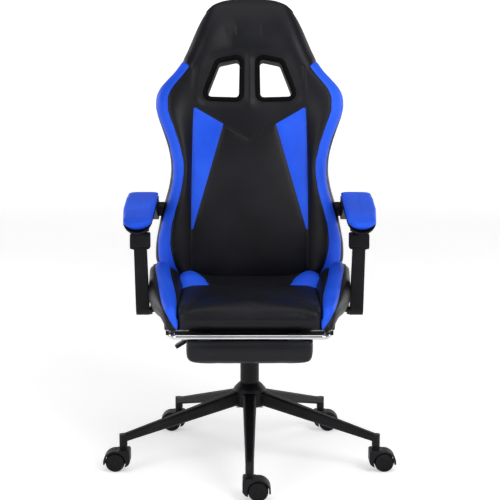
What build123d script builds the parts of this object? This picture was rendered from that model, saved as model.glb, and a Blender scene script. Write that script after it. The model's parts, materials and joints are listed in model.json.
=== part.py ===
from build123d import *
import math
import os

os.makedirs("parts", exist_ok=True)

# Racing-style office chair with a five-star steel base, gas lift, tilt
# mechanism, reclining back with linked armrests and a pull-out footrest.
# Millimetres, +Z up, origin on the floor under the column axis.
# The chair faces -Y; the sitter's left is +X.

# ------------------------------------------------------------ dimensions
CASTOR_R = 346.0          # castor stem circle radius
WHEEL_D = 50.0            # castor wheel diameter
TRAIL = 21.0              # castor trail, stem axis to wheel axis
TIP_Z0, TIP_Z1 = 66.0, 97.0     # castor socket, bottom and top
HUB_Z0, HUB_Z1 = 148.0, 209.0   # base hub, bottom and top of its collar
ARM_ROOT_R = 38.0         # where the base arms meet the hub flats
COLUMN_D = 50.0           # gas column outer tube
COLUMN_TOP = 300.0
TUBE_D = 28.0             # gas cylinder
ROD_D = 10.0              # piston rod
LIFT = 80.0               # gas lift stroke

PIN_Y, PIN_Z = -45.0, 352.0     # tilt pivot
KNOB_Y = -82.0            # tilt tension screw

FRAME_X = 222.0           # seat frame outer half width
FRAME_Y0, FRAME_Y1 = -245.0, 165.0
FRAME_Z0, FRAME_Z1 = 402.0, 420.0
FRAME_T = 18.0            # frame tube side
WALL = 2.0                # frame tube wall

SEAT_X = 178.0            # centre cushion half width
SEAT_Y0, SEAT_Y1 = -270.0, 150.0
SEAT_Z = 468.0

O_Y, O_Z = 195.0, 430.0   # recline pivot
LEAN = math.radians(10.0)  # back lean at rest
LINK = (27.0, 218.0)      # link vector shared by back and arm posts
A_Y, A_Z = O_Y + LINK[0], O_Z + LINK[1]    # arm to back pivot
B_Y, B_Z = -30.0, 415.0                    # post to seat pivot
C_Y, C_Z = B_Y + LINK[0], B_Z + LINK[1]    # arm to post pivot

RAIL_X, RAIL_Z = 193.0, 393.0   # footrest rails
RAIL_D = 12.0
BAR_Y = -290.0            # footrest front bar
RAIL_END = 120.0
PAD_X = 154.0             # footrest pad half width
PAD_Y0, PAD_Y1 = -293.0, -118.0
PAD_Z0, PAD_Z1 = 326.0, 384.0

vy, vz = math.sin(LEAN), math.cos(LEAN)    # up along the back
BACK = Plane(origin=(0, O_Y, O_Z), x_dir=(1, 0, 0), z_dir=(0, -vz, vy))


def back_point(v, w):
    """Height v up the back and depth w in front of it, as (Y, Z)."""
    return (O_Y + v * vy - w * vz, O_Z + v * vz + w * vy)


# ------------------------------------------------------------ base
with BuildPart() as base_hub:
    with BuildSketch(Plane.XZ):
        with BuildLine():
            Polyline((25.03, HUB_Z0), (40, HUB_Z0), (42, 150), (42, 186),
                     (44, 188), (44, 191), (41.5, 196), (35, 203), (31, 207),
                     (29, HUB_Z1), (25.03, HUB_Z1), close=True)
        make_face()
    revolve(axis=Axis.Z)
    with PolarLocations(0, 5):
        with Locations((0, -ARM_ROOT_R - 11, 168.5)):
            Box(36.6, 22, 39, mode=Mode.SUBTRACT)
base_hub.part.label = "base_hub"
export_step(base_hub.part, "parts/base_hub.step")


def arm_plane(r, z):
    return Plane(origin=(0, -r, z), x_dir=(1, 0, 0), z_dir=(0, -1, 0))


with BuildPart() as arm_one:
    with BuildSketch(arm_plane(ARM_ROOT_R, 169.0)):
        RectangleRounded(36, 37.6, 9)
    with BuildSketch(arm_plane(CASTOR_R, 86.5)):
        RectangleRounded(20.5, 21, 6)
    loft()
    with BuildSketch(Plane.XY.offset(TIP_Z0)):
        with Locations((0, -CASTOR_R)):
            Circle(10.6)
    extrude(amount=TIP_Z1 - TIP_Z0)
    with BuildSketch(arm_plane(ARM_ROOT_R - 1, 169.0)):
        RectangleRounded(31, 32.6, 7)
    with BuildSketch(arm_plane(CASTOR_R - 18, 91.0)):
        RectangleRounded(15.5, 16, 4)
    loft(mode=Mode.SUBTRACT)
    with BuildSketch(Plane.XY.offset(TIP_Z0)):
        with Locations((0, -CASTOR_R)):
            Circle(5.5)
    extrude(amount=TIP_Z1 - TIP_Z0 - 3, mode=Mode.SUBTRACT)

with BuildPart() as base_arms:
    with PolarLocations(0, 5):
        add(arm_one.part)
base_arms.part.label = "base_arms"
export_step(base_arms.part, "parts/base_arms.step")

with BuildPart() as base_bolts:
    with PolarLocations(0, 5):
        with Locations((0, -32.0, HUB_Z0 - 3.0)):
            Cylinder(6.0, 6.0)
    chamfer(base_bolts.faces().sort_by(Axis.Z)[0:5].edges(), 0.8)
base_bolts.part.label = "base_bolts"
export_step(base_bolts.part, "parts/base_bolts.step")

with BuildPart() as castor_stems:
    with PolarLocations(0, 5):
        with Locations((0, -CASTOR_R, (49 + 91) / 2)):
            Cylinder(5.45, 42)
        with Locations((0, -CASTOR_R, TIP_Z0 - 1.1)):
            Cylinder(9.0, 2.0)
castor_stems.part.label = "castor_stems"
export_step(castor_stems.part, "parts/castor_stems.step")

# ------------------------------------------------------------ castors
WHEEL_R = WHEEL_D / 2
HOOD_R, HOOD_IN = 31.0, 27.0


def on_hood(r, deg):
    a = math.radians(deg)
    return (TRAIL + r * math.cos(a), WHEEL_R + r * math.sin(a))


with BuildPart() as hood_one:
    with BuildSketch(Plane.XZ.offset(-23)):
        with BuildLine():
            l1 = ThreePointArc(on_hood(HOOD_R, -10), on_hood(HOOD_R, 45),
                               on_hood(HOOD_R, 98))
            l2 = Polyline(l1 @ 1, (9, 57.5), (-14, 57.5), (-17.5, 54), (-17.8, 27))
            l3 = ThreePointArc(l2 @ 1, (-12, 17.5), on_hood(HOOD_IN, 205))
            l4 = ThreePointArc(l3 @ 1, on_hood(HOOD_IN, 100), on_hood(HOOD_IN, -10))
            Line(l4 @ 1, l1 @ 0)
        make_face()
    extrude(amount=46)
    chamfer(hood_one.edges().filter_by(GeomType.CIRCLE).filter_by(lambda e: abs(e.radius - HOOD_R) < 0.01), 1.6)
    with BuildSketch(Plane.XZ.offset(-3.5)):
        with Locations((TRAIL / 2 - 6, WHEEL_R + 1)):
            Rectangle(TRAIL + 12, 17)
        with Locations((TRAIL, WHEEL_R)):
            Circle(8.5)
    extrude(amount=7)
    with Locations((0, 0, 56.0)):
        Cylinder(11.0, 15.0)
    fillet(hood_one.faces().sort_by(Axis.Z)[-1].edges(), 1.2)
    with Locations((0, 0, 60.0)):
        Cylinder(5.52, 22.8, mode=Mode.SUBTRACT)
    with Locations(Location((TRAIL, 0, WHEEL_R), (90, 0, 0))):
        Cylinder(3.04, 20, mode=Mode.SUBTRACT)

with BuildPart() as axle_one:
    with Locations(Location((TRAIL, 0, WHEEL_R), (90, 0, 0))):
        Cylinder(3.0, 41.0)

with BuildPart() as wheels_one:
    with BuildSketch(Plane.XY):
        with BuildLine():
            Polyline((3.0, 4.3), (9, 4.3), (10, 6), (19, 6), (20, 4.3), (23.4, 4.3),
                     (24.6, 5.4), (25, 7.0), (25, 17.0), (24.5, 19.0), (23.0, 20.6),
                     (21.0, 21.2), (17.0, 20.4), (9.0, 19.8), (8.2, 20.6), (3.0, 20.6),
                     close=True)
        make_face()
    revolve(axis=Axis.Y)
    mirror(about=Plane.XZ)

CASTORS = [(-90.0, 0.0), (-18.0, 0.0), (54.0, 0.0), (126.0, 180.0), (198.0, 180.0)]
for i, (at, turn) in enumerate(CASTORS, start=1):
    a = math.radians(at)
    spot = Location((CASTOR_R * math.cos(a), CASTOR_R * math.sin(a), 0), (0, 0, turn))
    with BuildPart() as castor_hood:
        add(hood_one.part.moved(spot))
    castor_hood.part.label = f"castor_hood_{i}"
    export_step(castor_hood.part, f"parts/castor_hood_{i}.step")
    with BuildPart() as castor_axle:
        add(axle_one.part.moved(spot))
    castor_axle.part.label = f"castor_axle_{i}"
    export_step(castor_axle.part, f"parts/castor_axle_{i}.step")
    with BuildPart() as castor_wheels:
        add(wheels_one.part.moved(spot * Location((TRAIL, 0, WHEEL_R))))
    castor_wheels.part.label = f"castor_wheels_{i}"
    export_step(castor_wheels.part, f"parts/castor_wheels_{i}.step")

# ------------------------------------------------------------ gas column
with BuildPart() as gas_column:
    with BuildSketch(Plane.XZ):
        with BuildLine():
            Polyline((5.6, 150), (24, 150), (25, 151), (25, COLUMN_TOP - 1),
                     (24, COLUMN_TOP), (22.5, COLUMN_TOP), (22.5, 154), (5.6, 154), close=True)
        make_face()
    revolve(axis=Axis.Z)
gas_column.part.label = "gas_column"
export_step(gas_column.part, "parts/gas_column.step")

with BuildPart() as column_bush:
    with BuildSketch(Plane.XZ):
        with BuildLine():
            Polyline((14.06, 232), (22.4, 232), (22.4, COLUMN_TOP + 0.1), (24.4, COLUMN_TOP + 0.1),
                     (24.4, COLUMN_TOP + 3), (14.06, COLUMN_TOP + 3), close=True)
        make_face()
    revolve(axis=Axis.Z)
column_bush.part.label = "column_bush"
export_step(column_bush.part, "parts/column_bush.step")

with BuildPart() as thrust_bearing:
    with BuildSketch(Plane.XZ):
        with BuildLine():
            Polyline((6, 154), (15, 154), (15, 156), (13.5, 156), (13.5, 160), (15, 160),
                     (15, 162), (6, 162), (6, 160), (7.5, 160), (7.5, 156), (6, 156), close=True)
        make_face()
    revolve(axis=Axis.Z)
thrust_bearing.part.label = "thrust_bearing"
export_step(thrust_bearing.part, "parts/thrust_bearing.step")

with BuildPart() as piston_rod:
    with BuildSketch(Plane.XZ):
        with BuildLine():
            Polyline((0, 151), (5, 151), (5, 162.05), (12, 162.05), (12, 165), (5, 165),
                     (5, 281), (12.35, 281), (12.35, 291), (0, 291), close=True)
        make_face()
    revolve(axis=Axis.Z)
piston_rod.part.label = "piston_rod"
export_step(piston_rod.part, "parts/piston_rod.step")

with BuildPart() as gas_cylinder:
    with BuildSketch(Plane.XZ):
        with BuildLine():
            Polyline((5.05, 185), (13, 185), (14, 186), (14, 353.5), (13, 354.5), (3.05, 354.5),
                     (3.05, 340), (12.45, 340), (12.45, 195), (5.05, 195), close=True)
        make_face()
    revolve(axis=Axis.Z)
gas_cylinder.part.label = "gas_cylinder"
export_step(gas_cylinder.part, "parts/gas_cylinder.step")

with BuildPart() as release_pin:
    with Locations((0, 0, (341 + 363.6) / 2)):
        Cylinder(3.0, 22.6)
    chamfer(release_pin.faces().sort_by(Axis.Z)[-1].edges(), 0.5)
release_pin.part.label = "release_pin"
export_step(release_pin.part, "parts/release_pin.step")

# ------------------------------------------------------------ tilt mechanism
HOUSE_X, HOUSE_Y0, HOUSE_Y1, HOUSE_Z0, HOUSE_Z1 = 67.0, -112.0, 70.0, 330.0, 358.0
with BuildPart() as mech_housing:
    with BuildSketch(Plane.XY.offset(HOUSE_Z0)):
        with Locations((0, (HOUSE_Y0 + HOUSE_Y1) / 2)):
            RectangleRounded(2 * HOUSE_X, HOUSE_Y1 - HOUSE_Y0, 14)
    extrude(amount=HOUSE_Z1 - HOUSE_Z0)
    with BuildSketch(Plane.XY.offset(HOUSE_Z0 + 2.5)):
        with Locations((0, (HOUSE_Y0 + HOUSE_Y1) / 2)):
            RectangleRounded(2 * HOUSE_X - 5, HOUSE_Y1 - HOUSE_Y0 - 5, 11.5)
    extrude(amount=40, mode=Mode.SUBTRACT)
    # pin ears on both side walls
    with BuildSketch(Plane.YZ.offset(HOUSE_X - 2.5)):
        with Locations((PIN_Y, PIN_Z)):
            Circle(13)
    extrude(amount=2.5)
    with BuildSketch(Plane.YZ.offset(-HOUSE_X)):
        with Locations((PIN_Y, PIN_Z)):
            Circle(13)
    extrude(amount=2.5)
    # taper socket
    with BuildSketch(Plane.XY.offset(318)):
        Circle(20)
    extrude(amount=38)
    # lever ears
    with BuildSketch(Plane.XZ.offset(7)):
        with Locations((-45, 352)):
            Rectangle(16, 40)
        with Locations((-45, 370)):
            Circle(8)
    extrude(amount=3)
    with BuildSketch(Plane.XZ.offset(-10)):
        with Locations((-45, 352)):
            Rectangle(16, 40)
        with Locations((-45, 370)):
            Circle(8)
    extrude(amount=3)
    # bores
    with Locations((0, 0, 340)):
        Cylinder(14.04, 60, mode=Mode.SUBTRACT)
    with Locations(Location((0, PIN_Y, PIN_Z), (0, 90, 0))):
        Cylinder(5.05, 200, mode=Mode.SUBTRACT)
    with Locations(Location((-45, 0, 368), (90, 0, 0))):
        Cylinder(2.55, 40, mode=Mode.SUBTRACT)
    with Locations((0, KNOB_Y, HOUSE_Z0)):
        Cylinder(5.08, 20, mode=Mode.SUBTRACT)
mech_housing.part.label = "mech_housing"
export_step(mech_housing.part, "parts/mech_housing.step")

with BuildPart() as tilt_pin:
    with Locations(Location((0, PIN_Y, PIN_Z), (0, 90, 0))):
        Cylinder(5.0, 146)
    with Locations(Location((75, PIN_Y, PIN_Z), (0, 90, 0)), Location((-75, PIN_Y, PIN_Z), (0, 90, 0))):
        Cylinder(8.0, 5)
tilt_pin.part.label = "tilt_pin"
export_step(tilt_pin.part, "parts/tilt_pin.step")

with BuildPart() as tilt_spring:
    with BuildLine():
        coil = Helix(pitch=8.2, height=49.2, radius=12.5, center=(0, KNOB_Y, 335.6))
    with BuildSketch(Plane(origin=coil @ 0, z_dir=coil % 0)):
        Circle(2.3)
    sweep(is_frenet=True)
tilt_spring.part.label = "tilt_spring"
export_step(tilt_spring.part, "parts/tilt_spring.step")

with BuildPart() as tension_knob:
    with BuildSketch(Plane.XY.offset(296)):
        with Locations((0, KNOB_Y)):
            Circle(24)
        with Locations((0, KNOB_Y)):
            with PolarLocations(29, 8):
                Circle(8, mode=Mode.SUBTRACT)
    extrude(amount=28)
    fillet(tension_knob.faces().sort_by(Axis.Z)[0].edges(), 2.5)
    with Locations((0, KNOB_Y, 357)):
        Cylinder(5.0, 70)
    with Locations((0, KNOB_Y, 390.5)):
        Cylinder(15.0, 4)
tension_knob.part.label = "tension_knob"
export_step(tension_knob.part, "parts/tension_knob.step")

with BuildPart() as height_lever:
    with BuildLine():
        run = FilletPolyline((10, 0, 368), (-96, 0, 368), (-144, 0, 327), (-176, 0, 319), radius=14)
    with BuildSketch(Plane(origin=run @ 0, z_dir=run % 0)):
        Circle(4.0)
    sweep()
    with BuildSketch(Plane(origin=(-182, 0, 314.5), x_dir=(0.846, 0, 0.533), z_dir=(-0.533, 0, 0.846))):
        RectangleRounded(34, 30, 9)
    extrude(amount=4.5, both=True)
    with Locations(Location((-45, 0, 368), (90, 0, 0))):
        Cylinder(2.5, 21)
height_lever.part.label = "height_lever"
export_step(height_lever.part, "parts/height_lever.step")

PLATE_Z0 = FRAME_Z0 - 3.0
BOLT_AT = [(-85, -95), (85, -95), (-85, 85), (85, 85)]
with BuildPart() as mech_top_plate:
    with BuildSketch(Plane.XY.offset(PLATE_Z0)):
        with Locations((0, -4)):
            RectangleRounded(210, 216, 16)
        with Locations(*BOLT_AT):
            Circle(4.2, mode=Mode.SUBTRACT)
    extrude(amount=3)
    with BuildSketch(Plane.YZ.offset(HOUSE_X + 1.5)):
        with BuildLine():
            Polyline((-80, PLATE_Z0), (-58, 352), (-55, 342), (-45, 338), (-35, 342),
                     (-32, 352), (-10, PLATE_Z0), close=True)
        make_face()
        with Locations((PIN_Y, PIN_Z)):
            Circle(5.05, mode=Mode.SUBTRACT)
    extrude(amount=3)
    with BuildSketch(Plane.YZ.offset(-HOUSE_X - 4.5)):
        with BuildLine():
            Polyline((-80, PLATE_Z0), (-58, 352), (-55, 342), (-45, 338), (-35, 342),
                     (-32, 352), (-10, PLATE_Z0), close=True)
        make_face()
        with Locations((PIN_Y, PIN_Z)):
            Circle(5.05, mode=Mode.SUBTRACT)
    extrude(amount=3)
mech_top_plate.part.label = "mech_top_plate"
export_step(mech_top_plate.part, "parts/mech_top_plate.step")

with BuildPart() as mech_bolts:
    with BuildSketch(Plane.XY.offset(PLATE_Z0 - 5.6)):
        with Locations(*BOLT_AT):
            RegularPolygon(7.4, 6)
    extrude(amount=5.5)
    with BuildSketch(Plane.XY.offset(PLATE_Z0 - 0.2)):
        with Locations(*BOLT_AT):
            Circle(4.0)
    extrude(amount=20.5)
mech_bolts.part.label = "mech_bolts"
export_step(mech_bolts.part, "parts/mech_bolts.step")

# ------------------------------------------------------------ seat frame
FRAME_CY = (FRAME_Y0 + FRAME_Y1) / 2
FRAME_L = FRAME_Y1 - FRAME_Y0
FRAME_NOSE_X, FRAME_NOSE_Y = 211.0, -108.0    # the frame narrows to this half width in front of this Y


def frame_plan(d):
    """Outline of the seat frame in plan, d inside its outer face."""
    run = (FRAME_X - FRAME_NOSE_X, FRAME_NOSE_Y - FRAME_Y0)
    size = math.hypot(*run)
    ux, uy = run[0] / size, run[1] / size
    px, py = FRAME_NOSE_X - d * uy, FRAME_Y0 + d * ux
    xf = px + (FRAME_Y0 + d - py) / uy * ux
    yk = py + (FRAME_X - d - px) / ux * uy
    right = [(xf, FRAME_Y0 + d), (FRAME_X - d, yk), (FRAME_X - d, FRAME_Y1 - d)]
    return right + [(-x, y) for x, y in reversed(right)]


with BuildPart() as seat_frame:
    with BuildSketch(Plane.XY.offset(FRAME_Z0)):
        with BuildSketch() as outer_plan:
            with BuildLine():
                Polyline(*frame_plan(0), close=True)
            make_face()
            fillet(outer_plan.vertices().group_by(Axis.Y)[-1], 20)
            fillet(outer_plan.vertices().group_by(Axis.Y)[0], 6)
        with BuildSketch(mode=Mode.SUBTRACT) as inner_plan:
            with BuildLine():
                Polyline(*frame_plan(FRAME_T), close=True)
            make_face()
            fillet(inner_plan.vertices(), 6)
        with Locations((0, -95), (0, 85)):
            Rectangle(2 * FRAME_X - 20, FRAME_T)
    extrude(amount=FRAME_Z1 - FRAME_Z0)
    with BuildSketch(Plane.XY.offset(FRAME_Z0 + WALL)):
        with BuildSketch() as outer_bore:
            with BuildLine():
                Polyline(*frame_plan(WALL), close=True)
            make_face()
            fillet(outer_bore.vertices().group_by(Axis.Y)[-1], 18)
            fillet(outer_bore.vertices().group_by(Axis.Y)[0], 4)
        with BuildSketch(mode=Mode.SUBTRACT) as inner_bore:
            with BuildLine():
                Polyline(*frame_plan(FRAME_T - WALL), close=True)
            make_face()
            fillet(inner_bore.vertices(), 8)
        with Locations((0, -95), (0, 85)):
            Rectangle(2 * FRAME_X - 20, FRAME_T - 2 * WALL)
    extrude(amount=FRAME_Z1 - FRAME_Z0 - 2 * WALL, mode=Mode.SUBTRACT)
    with BuildSketch(Plane.XY.offset(FRAME_Z0 - 1)):
        with Locations(*BOLT_AT):
            Circle(4.2)
    extrude(amount=30, mode=Mode.SUBTRACT)
    # front apron, notched for the footrest rails and their guides
    with BuildSketch(Plane.XZ.offset(240)):
        with Locations((0, 395.25)):
            Rectangle(416, 14.1)
        with Locations((RAIL_X, 393.0), (-RAIL_X, 393.0)):
            Rectangle(14, 20, mode=Mode.SUBTRACT)
        with Locations((177, 401.4), (-177, 401.4)):
            Rectangle(57, 4, mode=Mode.SUBTRACT)
    extrude(amount=3)
seat_frame.part.label = "seat_frame"
export_step(seat_frame.part, "parts/seat_frame.step")

with BuildPart() as seat_webbing:
    with BuildSketch(Plane.XY.offset(FRAME_Z1 + 0.2)):
        with Locations((0, -190)):
            Rectangle(2 * FRAME_X - 32, 40)
        with Locations((0, -135), (0, -50), (0, 5), (0, 55), (0, 125)):
            Rectangle(2 * FRAME_X - 14, 40)
    extrude(amount=2)
seat_webbing.part.label = "seat_webbing"
export_step(seat_webbing.part, "parts/seat_webbing.step")

# ------------------------------------------------------------ seat cushions
FOAM_Z0 = FRAME_Z1 + 4.0
with BuildPart() as seat_cushion:
    with BuildSketch(Plane.YZ.offset(-SEAT_X)):
        with BuildLine():
            Polyline((-268, 409), (-249, 409), (-249, FOAM_Z0), (SEAT_Y1, FOAM_Z0), (SEAT_Y1, SEAT_Z - 4),
                     (120, SEAT_Z), (-80, SEAT_Z), (-200, SEAT_Z - 2), (-245, SEAT_Z - 6),
                     (-262, SEAT_Z - 14), (SEAT_Y0, SEAT_Z - 28), close=True)
        make_face()
    extrude(amount=2 * SEAT_X)
seat_cushion.part.label = "seat_cushion"
export_step(seat_cushion.part, "parts/seat_cushion.step")

BOLSTER = {
    -249: [(178.5, 424), (178.5, 458), (184, 465), (192, 467), (199, 465), (206, 458), (210, 446), (210, 432), (206, 424)],
    -200: [(178.5, 424), (178.5, 466), (188, 478), (202, 483), (214, 480), (225, 468), (231, 450), (231, 434), (226, 424)],
    -100: [(178.5, 424), (178.5, 468), (194, 492), (214, 503), (232, 502), (246, 490), (252, 470), (251, 442), (242, 424)],
    0: [(178.5, 424), (178.5, 468), (198, 500), (222, 520), (240, 521), (254, 506), (259, 482), (257, 450), (246, 426)],
    130: [(178.5, 432), (178.5, 468), (198, 502), (222, 522), (238, 522), (250, 508), (254, 488), (252, 468), (240, 455)],
}
with BuildPart() as bolster_left:
    for y, pts in BOLSTER.items():
        with BuildSketch(Plane(origin=(0, y, 0), x_dir=(1, 0, 0), z_dir=(0, -1, 0))):
            with BuildLine():
                Polyline(*pts, close=True)
            make_face()
    loft(ruled=True)
    # front lip that closes the frame's front corner
    with BuildSketch(Plane(origin=(0, -249, 0), x_dir=(1, 0, 0), z_dir=(0, -1, 0))):
        with BuildLine():
            Polyline((178.5, 409), (178.5, 458), (184, 465), (192, 467), (199, 465), (206, 458), (210, 446),
                     (210, 432), (202, 409), close=True)
        make_face()
    extrude(amount=15, taper=14)
    # room for the arm bracket's ear and bolt
    with Locations((257, -30, 420)):
        Box(24, 66, 44, mode=Mode.SUBTRACT)
with BuildPart() as seat_bolsters:
    add(bolster_left.part)
    mirror(about=Plane.YZ)
seat_bolsters.part.label = "seat_bolsters"
export_step(seat_bolsters.part, "parts/seat_bolsters.step")

# ------------------------------------------------------------ recliner
with BuildPart() as recliner_plates:
    with BuildSketch(Plane.YZ.offset(FRAME_X)):
        with BuildLine():
            Polyline((70, FRAME_Z0), (70, FRAME_Z1 - 2), (150, 434), (180, 452), (O_Y, 456), (214, 448),
                     (221, O_Z), (214, 412), (O_Y, 404), (170, FRAME_Z0), close=True)
        make_face()
        with Locations((O_Y, O_Z)):
            Circle(6.05, mode=Mode.SUBTRACT)
    extrude(amount=5)
    mirror(about=Plane.YZ)
recliner_plates.part.label = "recliner_plates"
export_step(recliner_plates.part, "parts/recliner_plates.step")

with BuildPart() as recliner_arms:
    top = back_point(150, 0)
    with BuildSketch(Plane.YZ.offset(216)):
        with Locations((O_Y, O_Z)):
            Circle(23)
        with Locations(top):
            Circle(16)
        make_hull()
        with Locations((O_Y, O_Z)):
            Circle(6.05, mode=Mode.SUBTRACT)
    extrude(amount=5)
    mirror(about=Plane.YZ)
recliner_arms.part.label = "recliner_arms"
export_step(recliner_arms.part, "parts/recliner_arms.step")

with BuildPart() as recliner_pins:
    with Locations(Location((220.5, O_Y, O_Z), (0, 90, 0)), Location((-220.5, O_Y, O_Z), (0, 90, 0))):
        Cylinder(6.0, 13)
    with Locations(Location((213.5, O_Y, O_Z), (0, 90, 0)), Location((-213.5, O_Y, O_Z), (0, 90, 0))):
        Cylinder(9.0, 4)
recliner_pins.part.label = "recliner_pins"
export_step(recliner_pins.part, "parts/recliner_pins.step")

with BuildPart() as recliner_covers:
    with BuildSketch(Plane.YZ.offset(227.5)):
        with Locations((O_Y, O_Z)):
            Circle(33)
        with Locations((104, 416)):
            Circle(15)
        make_hull()
    extrude(amount=18)
    fillet(recliner_covers.faces().sort_by(Axis.X)[-1].edges(), 4)
    with Locations(Location((237, O_Y, O_Z), (0, 90, 0))):
        Cylinder(6.05, 40, mode=Mode.SUBTRACT)
    mirror(about=Plane.YZ)
recliner_covers.part.label = "recliner_covers"
export_step(recliner_covers.part, "parts/recliner_covers.step")

with BuildPart() as recline_lever:
    with Locations(Location((-246, O_Y, O_Z), (0, 90, 0))):
        Cylinder(6.0, 36)
    with BuildSketch(Plane.YZ.offset(-264)):
        with Locations((O_Y, O_Z)):
            Circle(13)
        with Locations((112, 424)):
            Circle(9)
        make_hull()
    extrude(amount=7)
    with BuildSketch(Plane.YZ.offset(-268)):
        with Locations((118, 425)):
            SlotOverall(58, 24, rotation=4)
    extrude(amount=12)
    fillet(recline_lever.faces().sort_by(Axis.X)[0].edges(), 2.5)
recline_lever.part.label = "recline_lever"
export_step(recline_lever.part, "parts/recline_lever.step")

# ------------------------------------------------------------ footrest
with BuildPart() as guide_left:
    with BuildSketch(Plane.XY.offset(FRAME_Z0 - 2.2)):
        with Locations((RAIL_X, -167)):
            Rectangle(22, 130)
        with Locations((177, -226)):
            Rectangle(54, 44)
    extrude(amount=2)
    with Locations((RAIL_X, -216, 391), (RAIL_X, -122, 391)):
        Box(22, 32, 18)
    with Locations(Location((RAIL_X, -170, RAIL_Z), (90, 0, 0))):
        Cylinder(RAIL_D / 2 + 0.06, 300, mode=Mode.SUBTRACT)
with BuildPart() as footrest_guides:
    add(guide_left.part)
    mirror(about=Plane.YZ)
footrest_guides.part.label = "footrest_guides"
export_step(footrest_guides.part, "parts/footrest_guides.step")

with BuildPart() as footrest_frame:
    with BuildLine():
        hoop = FilletPolyline((RAIL_X, RAIL_END, RAIL_Z), (RAIL_X, BAR_Y, RAIL_Z),
                              (-RAIL_X, BAR_Y, RAIL_Z), (-RAIL_X, RAIL_END, RAIL_Z), radius=16)
    with BuildSketch(Plane(origin=hoop @ 0, z_dir=hoop % 0)):
        Circle(RAIL_D / 2)
        Circle(RAIL_D / 2 - 1.2, mode=Mode.SUBTRACT)
    sweep()
footrest_frame.part.label = "footrest_frame"
export_step(footrest_frame.part, "parts/footrest_frame.step")

with BuildPart() as footrest_plate:
    with BuildSketch(Plane.XY.offset(384.4)):
        with Locations((0, -208)):
            RectangleRounded(264, 150, 10)
    extrude(amount=2)
    with BuildSketch(Plane.XY.offset(384.4)):
        with Locations((112, -286), (-112, -286)):
            Rectangle(34, 10)
    extrude(amount=2)
    with Locations(Location((112, BAR_Y, RAIL_Z), (0, 90, 0)), Location((-112, BAR_Y, RAIL_Z), (0, 90, 0))):
        Cylinder(8.8, 34)
    with Locations(Location((0, BAR_Y, RAIL_Z), (0, 90, 0))):
        Cylinder(RAIL_D / 2 + 0.06, 300, mode=Mode.SUBTRACT)
    # the knuckles clip on from behind and leave the front of the bar bare
    with Locations((0, BAR_Y - 2.6 - 10, RAIL_Z)):
        Box(300, 20, 30, mode=Mode.SUBTRACT)
footrest_plate.part.label = "footrest_plate"
export_step(footrest_plate.part, "parts/footrest_plate.step")

with BuildPart() as footrest_pad:
    with BuildSketch(Plane.XY.offset(PAD_Z0)):
        with Locations((0, (PAD_Y0 + PAD_Y1) / 2)):
            RectangleRounded(2 * PAD_X, PAD_Y1 - PAD_Y0, 12)
    extrude(amount=PAD_Z1 - PAD_Z0)
    fillet(footrest_pad.faces().sort_by(Axis.Z)[0].edges(), 11)
footrest_pad.part.label = "footrest_pad"
export_step(footrest_pad.part, "parts/footrest_pad.step")

# ------------------------------------------------------------ armrests
with BuildPart() as bracket_left:
    # flange on the frame's side, two webs, and the plate that carries the post
    with BuildSketch(Plane.YZ.offset(FRAME_X + 0.2)):
        with Locations((B_Y, 411)):
            RectangleRounded(60, 18, 3)
    extrude(amount=4)
    with BuildSketch(Plane.XY.offset(411)):
        with Locations((241, B_Y - 22), (241, B_Y + 22)):
            Rectangle(36, 14)
    extrude(amount=7)
    with BuildSketch(Plane.YZ.offset(255)):
        with Locations((B_Y, 412)):
            RectangleRounded(60, 16, 5)
        with Locations((B_Y, B_Z)):
            Circle(15)
        with Locations((B_Y, B_Z)):
            Circle(5.06, mode=Mode.SUBTRACT)
    extrude(amount=5)
with BuildPart() as arm_brackets:
    add(bracket_left.part)
    mirror(about=Plane.YZ)
arm_brackets.part.label = "arm_brackets"
export_step(arm_brackets.part, "parts/arm_brackets.step")

with BuildPart() as post_bolts:
    with Locations(Location((272.5, B_Y, B_Z), (0, 90, 0))):
        Cylinder(5.0, 45)
    with Locations(Location((294.6, B_Y, B_Z), (0, 90, 0))):
        Cylinder(9.0, 4.8)
    with Locations(Location((252, B_Y, B_Z), (0, 90, 0))):
        Cylinder(8.5, 5.6)
    fillet(post_bolts.faces().sort_by(Axis.X)[-1].edges(), 1.5)
    mirror(about=Plane.YZ)
post_bolts.part.label = "post_bolts"
export_step(post_bolts.part, "parts/post_bolts.step")

LINK_A = math.degrees(math.atan2(LINK[0], LINK[1]))
SLEEVE = 178.0            # sleeve centre, up the post from its lower pivot
SLEEVE_AT = (B_Y + SLEEVE * math.sin(math.radians(LINK_A)), B_Z + SLEEVE * math.cos(math.radians(LINK_A)))
with BuildPart() as arm_post_left:
    with BuildSketch(Plane.YZ.offset(255)):
        with Locations((B_Y, B_Z)):
            Circle(17)
        with Locations((C_Y, C_Z)):
            Circle(17)
        make_hull()
        with Locations(Location((SLEEVE_AT[0], SLEEVE_AT[1], 0), (0, 0, -LINK_A))):
            RectangleRounded(48, 38, 6)
        with Locations((B_Y, B_Z)):
            Circle(5.06, mode=Mode.SUBTRACT)
        with Locations((C_Y, C_Z)):
            Circle(6.6, mode=Mode.SUBTRACT)
    extrude(amount=70)
    with BuildSketch(Plane.XZ.offset(-100)):
        with BuildLine():
            Polyline((262, 390), (270.5, 570), (261.5, 573), (261.5, 610.5), (270.6, 613), (270.6, 655),
                     (304.4, 655), (304.4, 613), (312.5, 610.5), (312.5, 573), (302.5, 570), (296.5, 390),
                     close=True)
        make_face()
    extrude(amount=200, mode=Mode.INTERSECT)
    # recess for the bolt's head
    with Locations(Location((301.9, B_Y, B_Z), (0, 90, 0))):
        Cylinder(9.5, 20, mode=Mode.SUBTRACT)
arm_post_left.part.label = "arm_post_left"
export_step(arm_post_left.part, "parts/arm_post_left.step")
with BuildPart() as arm_post_right:
    mirror(arm_post_left.part, about=Plane.YZ)
arm_post_right.part.label = "arm_post_right"
export_step(arm_post_right.part, "parts/arm_post_right.step")

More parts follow.
